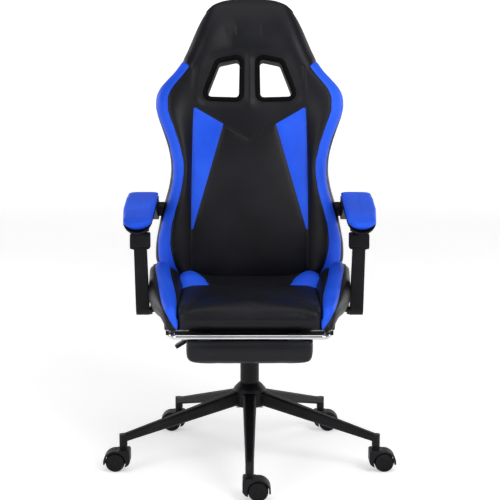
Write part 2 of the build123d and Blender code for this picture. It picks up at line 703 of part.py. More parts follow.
# arm pad, sloping down to the front
ARM_F, ARM_B = (-186.0, 663.5), (112.0, 707.0)
ARM_L = math.hypot(ARM_B[0] - ARM_F[0], ARM_B[1] - ARM_F[1])
ARM_T = ((ARM_B[0] - ARM_F[0]) / ARM_L, (ARM_B[1] - ARM_F[1]) / ARM_L)


def arm_point(s, d):
    """s along the pad's top from the front, d below it, as (Y, Z)."""
    return (ARM_F[0] + s * ARM_T[0] + d * ARM_T[1], ARM_F[1] + s * ARM_T[1] - d * ARM_T[0])


ARM_PLAN = [(247.0, ARM_F[0]), (316.0, ARM_F[0]), (325.0, ARM_B[0]), (245.0, ARM_B[0])]


def arm_section(y, wider, depth, above):
    """Rounded trough section of the armrest at one Y: flat-sided above, half an ellipse below its top line."""
    u = (y - ARM_F[0]) / (ARM_B[0] - ARM_F[0])
    mid, half = 281.5 + 3.5 * u, 34.5 + 5.5 * u + wider
    top = ARM_F[1] + u * (ARM_B[1] - ARM_F[1])
    with BuildSketch(Plane(origin=(mid, y, top), x_dir=(1, 0, 0), z_dir=(0, -1, 0))) as section:
        with BuildLine():
            EllipticalCenterArc((0, 0), half, depth, 180, arc_size=180)
            Polyline((half, 0), (half, above), (-half, above), (-half, 0))
        make_face()
    return section.sketch


with BuildPart() as arm_pad_left:
    with BuildSketch(Plane.XY.offset(600)):
        with BuildLine():
            Polyline(*ARM_PLAN, close=True)
        rim = make_face()
        fillet(rim.vertices().group_by(Axis.Y)[0], 33)
        fillet(rim.vertices().group_by(Axis.Y)[-1], 12)
    extrude(amount=150)
    with BuildSketch(Plane.YZ.offset(200)):
        with BuildLine():
            Polyline(arm_point(-20, 6), arm_point(8, 2), arm_point(30, 0), arm_point(270, 0), arm_point(290, 2),
                     arm_point(330, 8), arm_point(330, 45), arm_point(-20, 45), close=True)
        make_face()
    extrude(amount=150, mode=Mode.INTERSECT)
    loft([arm_section(-230.0, 1.5, 28.0, 4.0), arm_section(160.0, 1.5, 28.0, 4.0)], mode=Mode.INTERSECT)
arm_pad_left.part.label = "arm_pad_left"
export_step(arm_pad_left.part, "parts/arm_pad_left.step")
with BuildPart() as arm_pad_right:
    mirror(arm_pad_left.part, about=Plane.YZ)
arm_pad_right.part.label = "arm_pad_right"
export_step(arm_pad_right.part, "parts/arm_pad_right.step")

with BuildPart() as arm_shell_left:
    with BuildSketch(Plane.XY.offset(600)):
        with BuildLine():
            Polyline((245.6, ARM_F[0] + 3), (317.4, ARM_F[0] + 3), (326.3, ARM_B[0] - 3), (243.7, ARM_B[0] - 3), close=True)
        base = make_face()
        fillet(base.vertices().group_by(Axis.Y)[0], 33)
        fillet(base.vertices().group_by(Axis.Y)[-1], 10)
    extrude(amount=150)
    with BuildSketch(Plane.YZ.offset(200)):
        with BuildLine():
            Polyline(arm_point(-20, 10), arm_point(330, 10), arm_point(330, 45), arm_point(-20, 45), close=True)
        make_face()
    extrude(amount=150, mode=Mode.INTERSECT)
    loft([arm_section(-230.0, 4.2, 32.5, 4.0), arm_section(160.0, 4.2, 32.5, 4.0)], mode=Mode.INTERSECT)
    # keel that carries the ears and the rear arm
    with BuildSketch(Plane.YZ.offset(262)):
        with BuildLine():
            Polyline(arm_point(70, 18), arm_point(290, 18), arm_point(290, 37), arm_point(80, 37), close=True)
        make_face()
    extrude(amount=49)
    # ears over the post's tongue
    for x in (264.4, 305.4):
        with BuildSketch(Plane.YZ.offset(x)):
            with Locations((C_Y, C_Z)):
                Circle(17.5)
            with Locations((C_Y, C_Z + 11)):
                Rectangle(35, 22)
            with Locations((C_Y, C_Z)):
                Circle(5.03, mode=Mode.SUBTRACT)
        extrude(amount=5.2)
    # rear arm down to the back pivot
    with BuildSketch(Plane.YZ.offset(252.5)):
        with Locations((A_Y, A_Z)):
            Circle(29)
        with Locations(arm_point(285, 30)):
            Circle(12)
        make_hull()
    extrude(amount=24)
    with Locations(Location((264, A_Y, A_Z), (0, 90, 0))):
        Cylinder(6.06, 60, mode=Mode.SUBTRACT)
    # bed for the pad
    loft([arm_section(-230.0, 1.75, 28.25, 60.0), arm_section(134.0, 1.75, 28.25, 60.0)], mode=Mode.SUBTRACT)
arm_shell_left.part.label = "arm_shell_left"
export_step(arm_shell_left.part, "parts/arm_shell_left.step")
with BuildPart() as arm_shell_right:
    mirror(arm_shell_left.part, about=Plane.YZ)
arm_shell_right.part.label = "arm_shell_right"
export_step(arm_shell_right.part, "parts/arm_shell_right.step")

with BuildPart() as arm_pin_left:
    with Locations(Location((287.5, C_Y, C_Z), (0, 90, 0))):
        Cylinder(5.0, 48)
    with Locations(Location((312.6, C_Y, C_Z), (0, 90, 0))):
        Cylinder(8.0, 3.6)
arm_pin_left.part.label = "arm_pin_left"
export_step(arm_pin_left.part, "parts/arm_pin_left.step")
with BuildPart() as arm_pin_right:
    mirror(arm_pin_left.part, about=Plane.YZ)
arm_pin_right.part.label = "arm_pin_right"
export_step(arm_pin_right.part, "parts/arm_pin_right.step")

with BuildPart() as arm_bolts:
    # boss over the end of the frame's cross tube
    with Locations(Location((244.1, A_Y, A_Z), (0, 90, 0))):
        Cylinder(20.0, 16.2)
    with Locations(Location((240.0, A_Y, A_Z), (0, 90, 0))):
        Cylinder(11.2, 12.4, mode=Mode.SUBTRACT)
    with Locations(Location((256, A_Y, A_Z), (0, 90, 0))):
        Cylinder(6.0, 46)
    with Locations(Location((279.5, A_Y, A_Z), (0, 90, 0))):
        Cylinder(11.0, 5)
    fillet(arm_bolts.faces().sort_by(Axis.X)[-1].edges(), 2)
    mirror(about=Plane.YZ)
arm_bolts.part.label = "arm_bolts"
export_step(arm_bolts.part, "parts/arm_bolts.step")

# ------------------------------------------------------------ back frame
UP_X, UP_R, CROSS_R = 150.0, 10.0, 9.0
UP_V0, UP_V1 = 52.0, 660.0
CROSS_V = (70.0, 360.0, 500.0, 655.0)
across = Plane(origin=(0, *back_point(UP_V0, 0)), x_dir=(1, 0, 0), z_dir=(0, vy, vz))
with BuildPart() as back_frame:
    with BuildSketch(across):
        with Locations((UP_X, 0), (-UP_X, 0)):
            Circle(UP_R)
    extrude(amount=UP_V1 - UP_V0)
    for v in CROSS_V:
        with BuildSketch(Plane.YZ.offset(-216 if v < 100 else -UP_X)):
            with Locations(back_point(v, 0)):
                Circle(CROSS_R)
        extrude(amount=432 if v < 100 else 2 * UP_X)
    with BuildSketch(Plane.YZ.offset(-246)):
        with Locations((A_Y, A_Z)):
            Circle(11)
    extrude(amount=492)
    # tube bores
    with BuildSketch(across):
        with Locations((UP_X, 0), (-UP_X, 0)):
            Circle(UP_R - 1.8)
    extrude(amount=UP_V1 - UP_V0 - 4, mode=Mode.SUBTRACT)
    for v in CROSS_V:
        with BuildSketch(Plane.YZ.offset(-217 if v < 100 else -UP_X)):
            with Locations(back_point(v, 0)):
                Circle(CROSS_R - 1.8)
        extrude(amount=434 if v < 100 else 2 * UP_X, mode=Mode.SUBTRACT)
    with BuildSketch(Plane.YZ.offset(-247)):
        with Locations((A_Y, A_Z)):
            Circle(6.1)
    extrude(amount=494, mode=Mode.SUBTRACT)
back_frame.part.label = "back_frame"
export_step(back_frame.part, "parts/back_frame.step")

with BuildPart() as back_webbing:
    with BuildSketch(BACK.offset(3)):
        for v in (120, 165, 270, 312, 408, 452):
            with Locations((0, v)):
                Rectangle(2 * (UP_X - UP_R) - 1, 34)
    extrude(amount=2)
back_webbing.part.label = "back_webbing"
export_step(back_webbing.part, "parts/back_webbing.step")

# ------------------------------------------------------------ back cushion
# half width against height up the back
OUTLINE = [(14, 200), (43, 206), (45, 236), (62, 250), (83, 257), (117, 259), (140, 256), (167, 250), (200, 245), (234, 237), (251, 231),
           (284, 222), (318, 217), (345, 216), (385, 221), (418, 232), (452, 246), (486, 259), (502, 262),
           (519, 262), (536, 258), (553, 250), (570, 238), (587, 223), (603, 209), (620, 196), (637, 186),
           (654, 177), (671, 168), (705, 154), (738, 140), (755, 129), (772, 118), (784, 104), (796, 76), (800, 40)]
FRONT = [(14, 27), (40, 43), (70, 51), (150, 58), (220, 58), (300, 53), (400, 46), (500, 44), (600, 46), (680, 46),
         (740, 40), (780, 26), (802, 4)]
REAR = [(802, -4), (780, -20), (740, -30), (680, -36), (600, -41), (500, -45), (400, -45), (300, -42),
        (200, -38), (100, -36), (44, -30), (36, -6), (14, 15)]
HOLE = [(84, 621), (29, 633), (31, 530), (119, 532)]      # strap hole corners, half width and height
RIM = 7.0                 # bezel wall

with BuildPart() as back_cushion:
    with BuildSketch(BACK.offset(-70)):
        with BuildLine():
            Polyline(*[(x, v) for v, x in OUTLINE], *[(-x, v) for v, x in reversed(OUTLINE)], close=True)
        make_face()
    extrude(amount=150)
    with BuildSketch(Plane.YZ.offset(-300)):
        with BuildLine():
            Polyline(*[back_point(v, w) for v, w in FRONT], *[back_point(v, w) for v, w in REAR], close=True)
        make_face()
    extrude(amount=600, mode=Mode.INTERSECT)
    # strap holes with room for the bezels
    with BuildSketch(BACK.offset(-70)) as holes:
        with BuildLine():
            Polyline(*HOLE, close=True)
        make_face()
        offset(amount=RIM + 0.2, kind=Kind.ARC)
        mirror(about=Plane.YZ)
    extrude(amount=150, mode=Mode.SUBTRACT)
    # pocket for the frame and webbing
    with BuildSketch(BACK.offset(-12)):
        with Locations((0, 350)):
            Rectangle(2 * (UP_X + UP_R) + 6, 650)
        with Locations((0, 100)):
            Rectangle(452, 150)
    extrude(amount=24, mode=Mode.SUBTRACT)
    with BuildSketch(BACK.offset(-26)):
        with Locations((218.5, 90), (-218.5, 90)):
            Rectangle(12, 164)
    extrude(amount=52, mode=Mode.SUBTRACT)
    with Locations(Location((0, A_Y, A_Z), (0, 90, 0))):
        Cylinder(11.4, 600, mode=Mode.SUBTRACT)
    with Locations(Location((256, A_Y, A_Z), (0, 90, 0)), Location((-256, A_Y, A_Z), (0, 90, 0))):
        Cylinder(20.4, 41, mode=Mode.SUBTRACT)
    # front side edges drawn in where the rear arms pass
    with BuildSketch(BACK.offset(38)):
        with Locations((263, 125), (-263, 125)):
            Rectangle(24, 150)
    extrude(amount=40, mode=Mode.SUBTRACT)
back_cushion.part.label = "back_cushion"
export_step(back_cushion.part, "parts/back_cushion.step")

with BuildPart() as strap_bezels:
    with BuildSketch(BACK.offset(-44)):
        with BuildLine():
            Polyline(*HOLE, close=True)
        make_face()
        offset(amount=RIM, kind=Kind.ARC)
        mirror(about=Plane.YZ)
    extrude(amount=94)
    with BuildSketch(BACK.offset(-60)):
        with BuildLine():
            Polyline(*HOLE, close=True)
        make_face()
        offset(amount=0.8, kind=Kind.ARC)
        mirror(about=Plane.YZ)
    extrude(amount=140, mode=Mode.SUBTRACT)
strap_bezels.part.label = "strap_bezels"
export_step(strap_bezels.part, "parts/strap_bezels.step")
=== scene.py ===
import json
import math

import bmesh
import bpy
import numpy as np
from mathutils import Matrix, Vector
from mathutils.bvhtree import BVHTree


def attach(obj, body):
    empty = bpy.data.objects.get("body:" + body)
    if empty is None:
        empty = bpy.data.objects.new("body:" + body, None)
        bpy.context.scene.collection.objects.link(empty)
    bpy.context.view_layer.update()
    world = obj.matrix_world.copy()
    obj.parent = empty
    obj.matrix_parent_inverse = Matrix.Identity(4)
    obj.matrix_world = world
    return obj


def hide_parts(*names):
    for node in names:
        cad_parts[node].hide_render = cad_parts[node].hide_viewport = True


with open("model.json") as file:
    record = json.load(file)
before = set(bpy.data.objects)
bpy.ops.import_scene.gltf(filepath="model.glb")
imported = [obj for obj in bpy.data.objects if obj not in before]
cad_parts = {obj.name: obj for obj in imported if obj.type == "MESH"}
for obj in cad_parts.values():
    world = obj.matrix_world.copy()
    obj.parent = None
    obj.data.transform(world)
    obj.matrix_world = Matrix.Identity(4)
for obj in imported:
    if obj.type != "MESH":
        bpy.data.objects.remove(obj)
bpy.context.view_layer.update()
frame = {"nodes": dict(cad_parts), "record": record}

NODES = frame["nodes"]
scene = bpy.context.scene
scene.view_settings.view_transform = "Standard"
MM = 0.001

# ---------------------------------------------------------------- camera
cam_data = bpy.data.cameras.new("photo_camera")
cam_data.sensor_width = 36.0
cam_data.lens = 100.66
cam_data.clip_start = 0.05
cam = bpy.data.objects.new("photo_camera", cam_data)
cam.location = (0.0010, -3.64, 1.107)
cam.rotation_euler = (math.radians(90 - 8.46), 0.0, 0.0)
scene.collection.objects.link(cam)
scene.camera = cam


# ---------------------------------------------------------------- small maths
def curve(table, x):
    """Smooth monotone interpolation through (x, y) pairs, flat outside them."""
    k = np.asarray([p[0] for p in table], float)
    y = np.asarray([p[1] for p in table], float)
    x = np.asarray(x, float)
    h = np.diff(k)
    d = np.diff(y) / h
    m = np.zeros_like(y)
    same = d[:-1] * d[1:] > 0
    m[1:-1] = np.where(same, 2 * d[:-1] * d[1:] / np.where(same, d[:-1] + d[1:], 1), 0)
    m[0], m[-1] = d[0], d[-1]
    i = np.clip(np.searchsorted(k, x) - 1, 0, len(h) - 1)
    t = np.clip((x - k[i]) / h[i], 0, 1)
    t2, t3 = t * t, t * t * t
    return ((2 * t3 - 3 * t2 + 1) * y[i] + (t3 - 2 * t2 + t) * h[i] * m[i]
            + (-2 * t3 + 3 * t2) * y[i + 1] + (t3 - t2) * h[i] * m[i + 1])


def smooth(t):
    t = np.clip(t, 0, 1)
    return t * t * (3 - 2 * t)


def soften(values, sigma):
    """Gaussian smoothing of an even row of values, ends held."""
    n = int(3 * sigma) + 1
    k = np.exp(-0.5 * (np.arange(-n, n + 1) / sigma) ** 2)
    k /= k.sum()
    padded = np.concatenate([np.full(n, values[0]), values, np.full(n, values[-1])])
    return np.convolve(padded, k, mode="valid")


def segment_distance(x, y, a, b):
    """Distance in the plane from points to the segment a-b."""
    ax, ay = a
    bx, by = b
    dx, dy = bx - ax, by - ay
    t = np.clip(((x - ax) * dx + (y - ay) * dy) / (dx * dx + dy * dy), 0, 1)
    return np.hypot(x - ax - t * dx, y - ay - t * dy)


def half_plane(x, y, a, b):
    """Signed distance to the line a-b, positive to its left."""
    dx, dy = b[0] - a[0], b[1] - a[1]
    return (dx * (y - a[1]) - dy * (x - a[0])) / math.hypot(dx, dy)


# ---------------------------------------------------------------- node materials
def new_material(name):
    m = bpy.data.materials.new(name)
    m.use_nodes = True
    nt = m.node_tree
    nt.nodes.clear()
    out = nt.nodes.new("ShaderNodeOutputMaterial")
    bsdf = nt.nodes.new("ShaderNodeBsdfPrincipled")
    nt.links.new(bsdf.outputs["BSDF"], out.inputs["Surface"])
    coord = nt.nodes.new("ShaderNodeTexCoord")
    return m, nt, bsdf, coord.outputs["Object"]


def noise(nt, coord, scale, detail=3.0, rough=0.5):
    n = nt.nodes.new("ShaderNodeTexNoise")
    n.inputs["Scale"].default_value = scale
    n.inputs["Detail"].default_value = detail
    n.inputs["Roughness"].default_value = rough
    nt.links.new(coord, n.inputs["Vector"])
    return n.outputs["Fac"]


def ramp(nt, fac, stops):
    r = nt.nodes.new("ShaderNodeValToRGB")
    e = r.color_ramp.elements
    e[0].position, e[0].color = stops[0][0], (*stops[0][1], 1)
    e[1].position, e[1].color = stops[-1][0], (*stops[-1][1], 1)
    for p, c in stops[1:-1]:
        k = e.new(p)
        k.color = (*c, 1)
    nt.links.new(fac, r.inputs["Fac"])
    return r.outputs["Color"]


def spread(nt, fac, lo, hi, from_lo=0.0, from_hi=1.0):
    r = nt.nodes.new("ShaderNodeMapRange")
    r.inputs["From Min"].default_value = from_lo
    r.inputs["From Max"].default_value = from_hi
    r.inputs["To Min"].default_value = lo
    r.inputs["To Max"].default_value = hi
    nt.links.new(fac, r.inputs["Value"])
    return r.outputs["Result"]


def combine(nt, a, b, op, fb=None):
    n = nt.nodes.new("ShaderNodeMath")
    n.operation = op
    nt.links.new(a, n.inputs[0])
    if b is None:
        n.inputs[1].default_value = fb
    else:
        nt.links.new(b, n.inputs[1])
    return n.outputs[0]


def bump(nt, height, strength, distance, normal=None):
    n = nt.nodes.new("ShaderNodeBump")
    n.inputs["Strength"].default_value = strength
    n.inputs["Distance"].default_value = distance
    nt.links.new(height, n.inputs["Height"])
    if normal is not None:
        nt.links.new(normal, n.inputs["Normal"])
    return n.outputs["Normal"]


def leather(name, dark, mid, light, rough=(0.36, 0.5), specular=0.5, coat=0.06, sheen=0.0):
    """Embossed polyurethane leather: fine pebble grain, soft mottling, slightly polished high spots."""
    m, nt, b, co = new_material(name)
    cloudy = noise(nt, co, 7.0, 4.0, 0.55)
    fine = noise(nt, co, 240.0, 2.0, 0.6)
    mottled = combine(nt, cloudy, combine(nt, fine, None, "MULTIPLY", 0.22), "ADD")
    nt.links.new(ramp(nt, mottled, [(0.38, dark), (0.62, mid), (0.86, light)]), b.inputs["Base Color"])
    cells = nt.nodes.new("ShaderNodeTexVoronoi")
    cells.feature = "DISTANCE_TO_EDGE"
    cells.inputs["Scale"].default_value = 620.0
    cells.inputs["Randomness"].default_value = 0.9
    nt.links.new(co, cells.inputs["Vector"])
    pebble = spread(nt, cells.outputs["Distance"], 0.0, 1.0, 0.0, 0.28)
    soft_folds = noise(nt, co, 34.0, 3.0, 0.5)
    n1 = bump(nt, soft_folds, 0.10, 0.003)
    n2 = bump(nt, pebble, 0.16, 0.0003, n1)
    nt.links.new(bump(nt, noise(nt, co, 1500.0, 2.0), 0.05, 0.0002, n2), b.inputs["Normal"])
    nt.links.new(spread(nt, combine(nt, cloudy, combine(nt, pebble, None, "MULTIPLY", -0.15), "ADD"),
                        rough[0], rough[1], 0.25, 0.75), b.inputs["Roughness"])
    b.inputs["Specular IOR Level"].default_value = specular
    b.inputs["Coat Weight"].default_value = coat
    b.inputs["Coat Roughness"].default_value = 0.32
    b.inputs["Sheen Weight"].default_value = sheen
    return m


def edge_factor(nt, radius):
    """1 on sharp edges, 0 on flat faces, from a rounded normal against the true one."""
    bev = nt.nodes.new("ShaderNodeBevel")
    bev.samples = 4
    bev.inputs["Radius"].default_value = radius
    geo = nt.nodes.new("ShaderNodeNewGeometry")
    dot = nt.nodes.new("ShaderNodeVectorMath")
    dot.operation = "DOT_PRODUCT"
    nt.links.new(bev.outputs["Normal"], dot.inputs[0])
    nt.links.new(geo.outputs["Normal"], dot.inputs[1])
    return bev.outputs["Normal"], spread(nt, dot.outputs["Value"], 1.0, 0.0, 0.70, 0.995)


def hard(name, dark, mid, worn, rough, metallic=0.0, grain=900.0, grain_bump=0.10, edge=0.0009,
         specular=0.5, wear=0.5, streaks=None):
    """Coated metal or moulded plastic: fine grain, patchy gloss, rubbed edges."""
    m, nt, b, co = new_material(name)
    patch = noise(nt, co, 18.0, 4.0, 0.6)
    speck = noise(nt, co, grain, 2.0, 0.6)
    normal, rim = edge_factor(nt, edge)
    worn_at = combine(nt, rim, noise(nt, co, 60.0, 3.0), "MULTIPLY")
    tone = combine(nt, combine(nt, patch, combine(nt, speck, None, "MULTIPLY", 0.25), "ADD"),
                   combine(nt, worn_at, None, "MULTIPLY", wear), "ADD")
    nt.links.new(ramp(nt, tone, [(0.40, dark), (0.72, mid), (1.15 if wear == 0 else 1.0, worn)]),
                 b.inputs["Base Color"])
    source = patch
    if streaks:
        wave = nt.nodes.new("ShaderNodeMapping")
        wave.inputs["Scale"].default_value = streaks
        nt.links.new(co, wave.inputs["Vector"])
        source = noise(nt, wave.outputs["Vector"], 40.0, 3.0)
    nt.links.new(spread(nt, source, rough[0], rough[1], 0.25, 0.75), b.inputs["Roughness"])
    nt.links.new(bump(nt, speck, grain_bump, 0.0003, normal), b.inputs["Normal"])
    b.inputs["Metallic"].default_value = metallic
    b.inputs["Specular IOR Level"].default_value = specular
    return m


def webbing_material(name):
    """Woven elastic strap: crossed ribs at about a millimetre and a half."""
    m, nt, b, co = new_material(name)
    ribs = []
    for axis in ("X", "Y"):
        w = nt.nodes.new("ShaderNodeTexWave")
        w.wave_type = "BANDS"
        w.bands_direction = axis
        w.inputs["Scale"].default_value = 320.0
        w.inputs["Distortion"].default_value = 0.6
        nt.links.new(co, w.inputs["Vector"])
        ribs.append(w.outputs["Fac"])
    weave = combine(nt, ribs[0], ribs[1], "MULTIPLY")
    nt.links.new(ramp(nt, weave, [(0.1, (0.006, 0.006, 0.007)), (0.8, (0.030, 0.030, 0.034))]),
                 b.inputs["Base Color"])
    nt.links.new(bump(nt, weave, 0.5, 0.0006), b.inputs["Normal"])
    nt.links.new(spread(nt, noise(nt, co, 50.0), 0.7, 0.9), b.inputs["Roughness"])
    return m


def thread_material(name, lo, hi):
    """Twisted polyester thread."""
    m, nt, b, co = new_material(name)
    w = nt.nodes.new("ShaderNodeTexWave")
    w.bands_direction = "DIAGONAL"
    w.inputs["Scale"].default_value = 900.0
    nt.links.new(co, w.inputs["Vector"])
    nt.links.new(ramp(nt, w.outputs["Fac"], [(0.2, lo), (0.8, hi)]), b.inputs["Base Color"])
    nt.links.new(bump(nt, w.outputs["Fac"], 0.4, 0.0002), b.inputs["Normal"])
    nt.links.new(spread(nt, noise(nt, co, 300.0), 0.45, 0.65), b.inputs["Roughness"])
    return m


PU_BLACK = leather("pu_black_leather", (0.0036, 0.0038, 0.0060), (0.0056, 0.0058, 0.0086), (0.0084, 0.0087, 0.0122),
                   rough=(0.36, 0.50), specular=0.19, coat=0.02)
PU_BLUE = leather("pu_blue_leather", (0.012, 0.076, 0.66), (0.017, 0.096, 0.78), (0.024, 0.120, 0.84),
                  rough=(0.38, 0.52), specular=0.12, coat=0.0)
STEEL_BLACK = hard("steel_black_powder", (0.0024, 0.0024, 0.0034), (0.0044, 0.0044, 0.0058), (0.024, 0.024, 0.027),
                   (0.36, 0.52), grain=1400.0, grain_bump=0.16, specular=0.18)
ZINC = hard("zinc_plated_steel", (0.42, 0.42, 0.43), (0.55, 0.55, 0.56), (0.75, 0.75, 0.75),
            (0.28, 0.46), metallic=1.0, grain=700.0, grain_bump=0.06, edge=0.0005)
CHROME = hard("chrome_plate", (0.50, 0.51, 0.53), (0.62, 0.63, 0.65), (0.74, 0.74, 0.75),
              (0.06, 0.16), metallic=1.0, grain=300.0, grain_bump=0.015, edge=0.0006, streaks=(1.0, 30.0, 30.0))
NYLON = hard("moulded_nylon_black", (0.0028, 0.0028, 0.0038), (0.0050, 0.0050, 0.0064), (0.020, 0.020, 0.023),
             (0.42, 0.58), grain=2200.0, grain_bump=0.22, edge=0.0012, specular=0.18)
CASTOR = hard("castor_nylon_black", (0.0016, 0.0016, 0.0022), (0.0030, 0.0030, 0.0040), (0.014, 0.014, 0.016),
              (0.30, 0.46), grain=1600.0, grain_bump=0.10, edge=0.0010, specular=0.16)
WEB = webbing_material("woven_webbing")
THREAD_BLACK = thread_material("thread_black", (0.006, 0.006, 0.007), (0.026, 0.026, 0.030))
THREAD_BLUE = thread_material("thread_blue", (0.010, 0.045, 0.50), (0.03, 0.12, 0.85))
# bezel nylon: black plastic, but coloured darker than the other black nylon as painted shade for the recess of the
# strap holes
BEZEL_BLACK_PAINTED_SHADE = hard("bezel_nylon_black_painted_shade", (0.0010, 0.0010, 0.0013), (0.0018, 0.0018, 0.0022), (0.0050, 0.0050, 0.0056),
                 (0.50, 0.66), grain=1800.0, grain_bump=0.12, edge=0.0010, specular=0.06)

SLOT_MATERIAL = {"steel_black": STEEL_BLACK, "zinc_steel": ZINC, "chrome": CHROME, "nylon_black": NYLON,
                 "castor_nylon": CASTOR, "pu_black": PU_BLACK, "pu_blue": PU_BLUE, "webbing": WEB}
NODE_SLOT = {}
for entry in frame["record"]["subparts"]:
    NODE_SLOT[entry["node"]] = entry["material_slot"]
for name, obj in NODES.items():
    chosen = SLOT_MATERIAL[NODE_SLOT.get(name, "steel_black")]
    obj.data.materials.clear()
    obj.data.materials.append(chosen)


# ---------------------------------------------------------------- mesh helpers
def link_mesh(name, bm, materials, smooth_shade=True):
    me = bpy.data.meshes.new(name)
    bm.normal_update()
    bm.to_mesh(me)
    bm.free()
    for m in materials:
        me.materials.append(m)
    if smooth_shade:
        me.polygons.foreach_set("use_smooth", [True] * len(me.polygons))
    ob = bpy.data.objects.new(name, me)
    scene.collection.objects.link(ob)
    return ob


def grid_bmesh(P, fields=None, cap=True, flip=False):
    """P is rows x columns x 3 in metres, closed across the columns. Both end rings are filled."""
    R, C = P.shape[:2]
    bm = bmesh.new()
    layers = {k: bm.verts.layers.float.new(k) for k in (fields or {})}
    V = [[None] * C for _ in range(R)]
    for i in range(R):
        for j in range(C):
            v = bm.verts.new(P[i, j])
            for k, l in layers.items():
                v[l] = float(fields[k][i, j])
            V[i][j] = v
    for i in range(R - 1):
        for j in range(C):
            k = (j + 1) % C
            q = (V[i][j], V[i][k], V[i + 1][k], V[i + 1][j])
            bm.faces.new(q[::-1] if flip else q)
    if cap:
        for i in (0, R - 1):
            f = bm.faces.new(V[i])
            bmesh.ops.triangulate(bm, faces=[f], quad_method="BEAUTY", ngon_method="BEAUTY")
    bm.verts.ensure_lookup_table()
    bmesh.ops.recalc_face_normals(bm, faces=bm.faces)
    return bm


def cut_at_zero(bm, key):
    """Splits edges and faces where the vertex field crosses zero, so that a colour border is a clean line of edges."""
    lay = bm.verts.layers.float[key]
    others = [bm.verts.layers.float[k] for k in bm.verts.layers.float.keys() if k != key]
    for e in list(bm.edges):
        a, b = e.verts
        va, vb = a[lay], b[lay]
        if va * vb < 0:
            t = va / (va - vb)
            if t < 0.07:
                a[lay] = 0.0
            elif t > 0.93:
                b[lay] = 0.0
    cut = [e for e in bm.edges if e.verts[0][lay] * e.verts[1][lay] < 0]
    touched = set()
    for e in cut:
        a, b = e.verts
        va, vb = a[lay], b[lay]
        t = va / (va - vb)
        keep = [(a[l], b[l]) for l in others]
        for f in e.link_faces:
            touched.add(f)
        _, nv = bmesh.utils.edge_split(e, a, t)
        nv[lay] = 0.0
        for l, (p, q) in zip(others, keep):
            nv[l] = p + (q - p) * t
    for f in list(bm.faces):
        vs = list(f.verts)
        vals = [v[lay] for v in vs]
        if min(vals) >= 0 or max(vals) <= 0:
            continue
        zeros = [i for i, x in enumerate(vals) if x == 0.0]
        n = len(vs)
        for p in range(len(zeros)):
            done = False
            for q in range(p + 1, len(zeros)):
                i, j = zeros[p], zeros[q]
                if (j - i) in (1, n - 1):
                    continue
                one = [vals[k] for k in range(i + 1, j)]
                two = [vals[k % n] for k in range(j + 1, i + n)]
                if (max(one) <= 0 or min(one) >= 0) and (max(two) <= 0 or min(two) >= 0):
                    bmesh.utils.face_split(f, vs[i], vs[j])
                    done = True
                    break
            if done:
                break


def paint_by(bm, key, inside_index):
    lay = bm.verts.layers.float[key]
    for f in bm.faces:
        vals = [v[lay] for v in f.verts]
        if sum(vals) / len(vals) < 0:
            f.material_index = inside_index


def inflate(P, pin, pressure, cap_mm, frames=20, stiff=12.0, step=2):
    """Short pressure simulation of the cover with its seams held; returns how far each grid point moves."""
    R, C = P.shape[:2]
    ri = np.unique(np.append(np.arange(0, R, step), R - 1))
    ci = np.arange(0, C, step)
    Q = P[np.ix_(ri, ci)]
    r, c = Q.shape[:2]
    bm = grid_bmesh(Q, cap=True)
    me = bpy.data.meshes.new("cover_sim")
    bm.to_mesh(me)
    bm.free()
    ob = bpy.data.objects.new("cover_sim", me)
    scene.collection.objects.link(ob)
    group = ob.vertex_groups.new(name="pin")
    weights = np.zeros((r, c))
    for a, i in enumerate(ri):
        for b, j in enumerate(ci):
            weights[a, b] = pin[i, j:j + step].max()
    for n, wgt in enumerate(weights.ravel()):
        if wgt > 0.01:
            group.add([n], float(wgt), "REPLACE")
    mod = ob.modifiers.new("Cloth", "CLOTH")
    st = mod.settings
    st.quality = 5
    st.mass = 0.25
    st.tension_stiffness = stiff
    st.compression_stiffness = stiff
    st.shear_stiffness = stiff * 0.6
    st.bending_stiffness = 0.4
    st.air_damping = 2.0
    st.use_pressure = True
    st.uniform_pressure_force = pressure
    st.vertex_group_mass = "pin"
    st.pin_stiffness = 1.0
    st.effector_weights.gravity = 0.0
    mod.collision_settings.use_collision = False
    mod.point_cache.frame_start = 1
    mod.point_cache.frame_end = frames
    for f in range(1, frames + 1):
        scene.frame_set(f)
    dg = bpy.context.evaluated_depsgraph_get()
    ev = ob.evaluated_get(dg).to_mesh()
    moved = np.zeros(len(ev.vertices) * 3)
    ev.vertices.foreach_get("co", moved)
    ob.evaluated_get(dg).to_mesh_clear()
    D = moved.reshape(-1, 3)[: r * c].reshape(r, c, 3) - Q
    scene.frame_set(1)
    bpy.data.objects.remove(ob)
    bpy.data.meshes.remove(me)
    D = np.nan_to_num(D)
    size = np.linalg.norm(D, axis=2, keepdims=True)
    limit = cap_mm * MM
    D *= np.where(size > 1e-9, limit * np.tanh(size / limit) / np.maximum(size, 1e-9), 1)
    full = np.zeros_like(P)
    rows = np.zeros((R, c, 3))
    for k in range(3):
        for b in range(c):
            rows[:, b, k] = np.interp(np.arange(R), ri, D[:, b, k])
        wrap_i = np.append(ci, C)
        for a in range(R):
            line = np.append(rows[a, :, k], rows[a, 0, k])
            full[a, :, k] = np.interp(np.arange(C), wrap_i, line)
    return full


def grid_normals(P):
    """Outward-facing normals of a grid closed across its columns, sign fixed against the middle."""
    dc = np.roll(P, -1, axis=1) - np.roll(P, 1, axis=1)
    dr = np.gradient(P, axis=0)
    n = np.cross(dc, dr)
    n /= np.maximum(np.linalg.norm(n, axis=2, keepdims=True), 1e-12)
    mid = P.mean(axis=1, keepdims=True)
    if np.sum(n * (P - mid)) < 0:
        n = -n
    return n


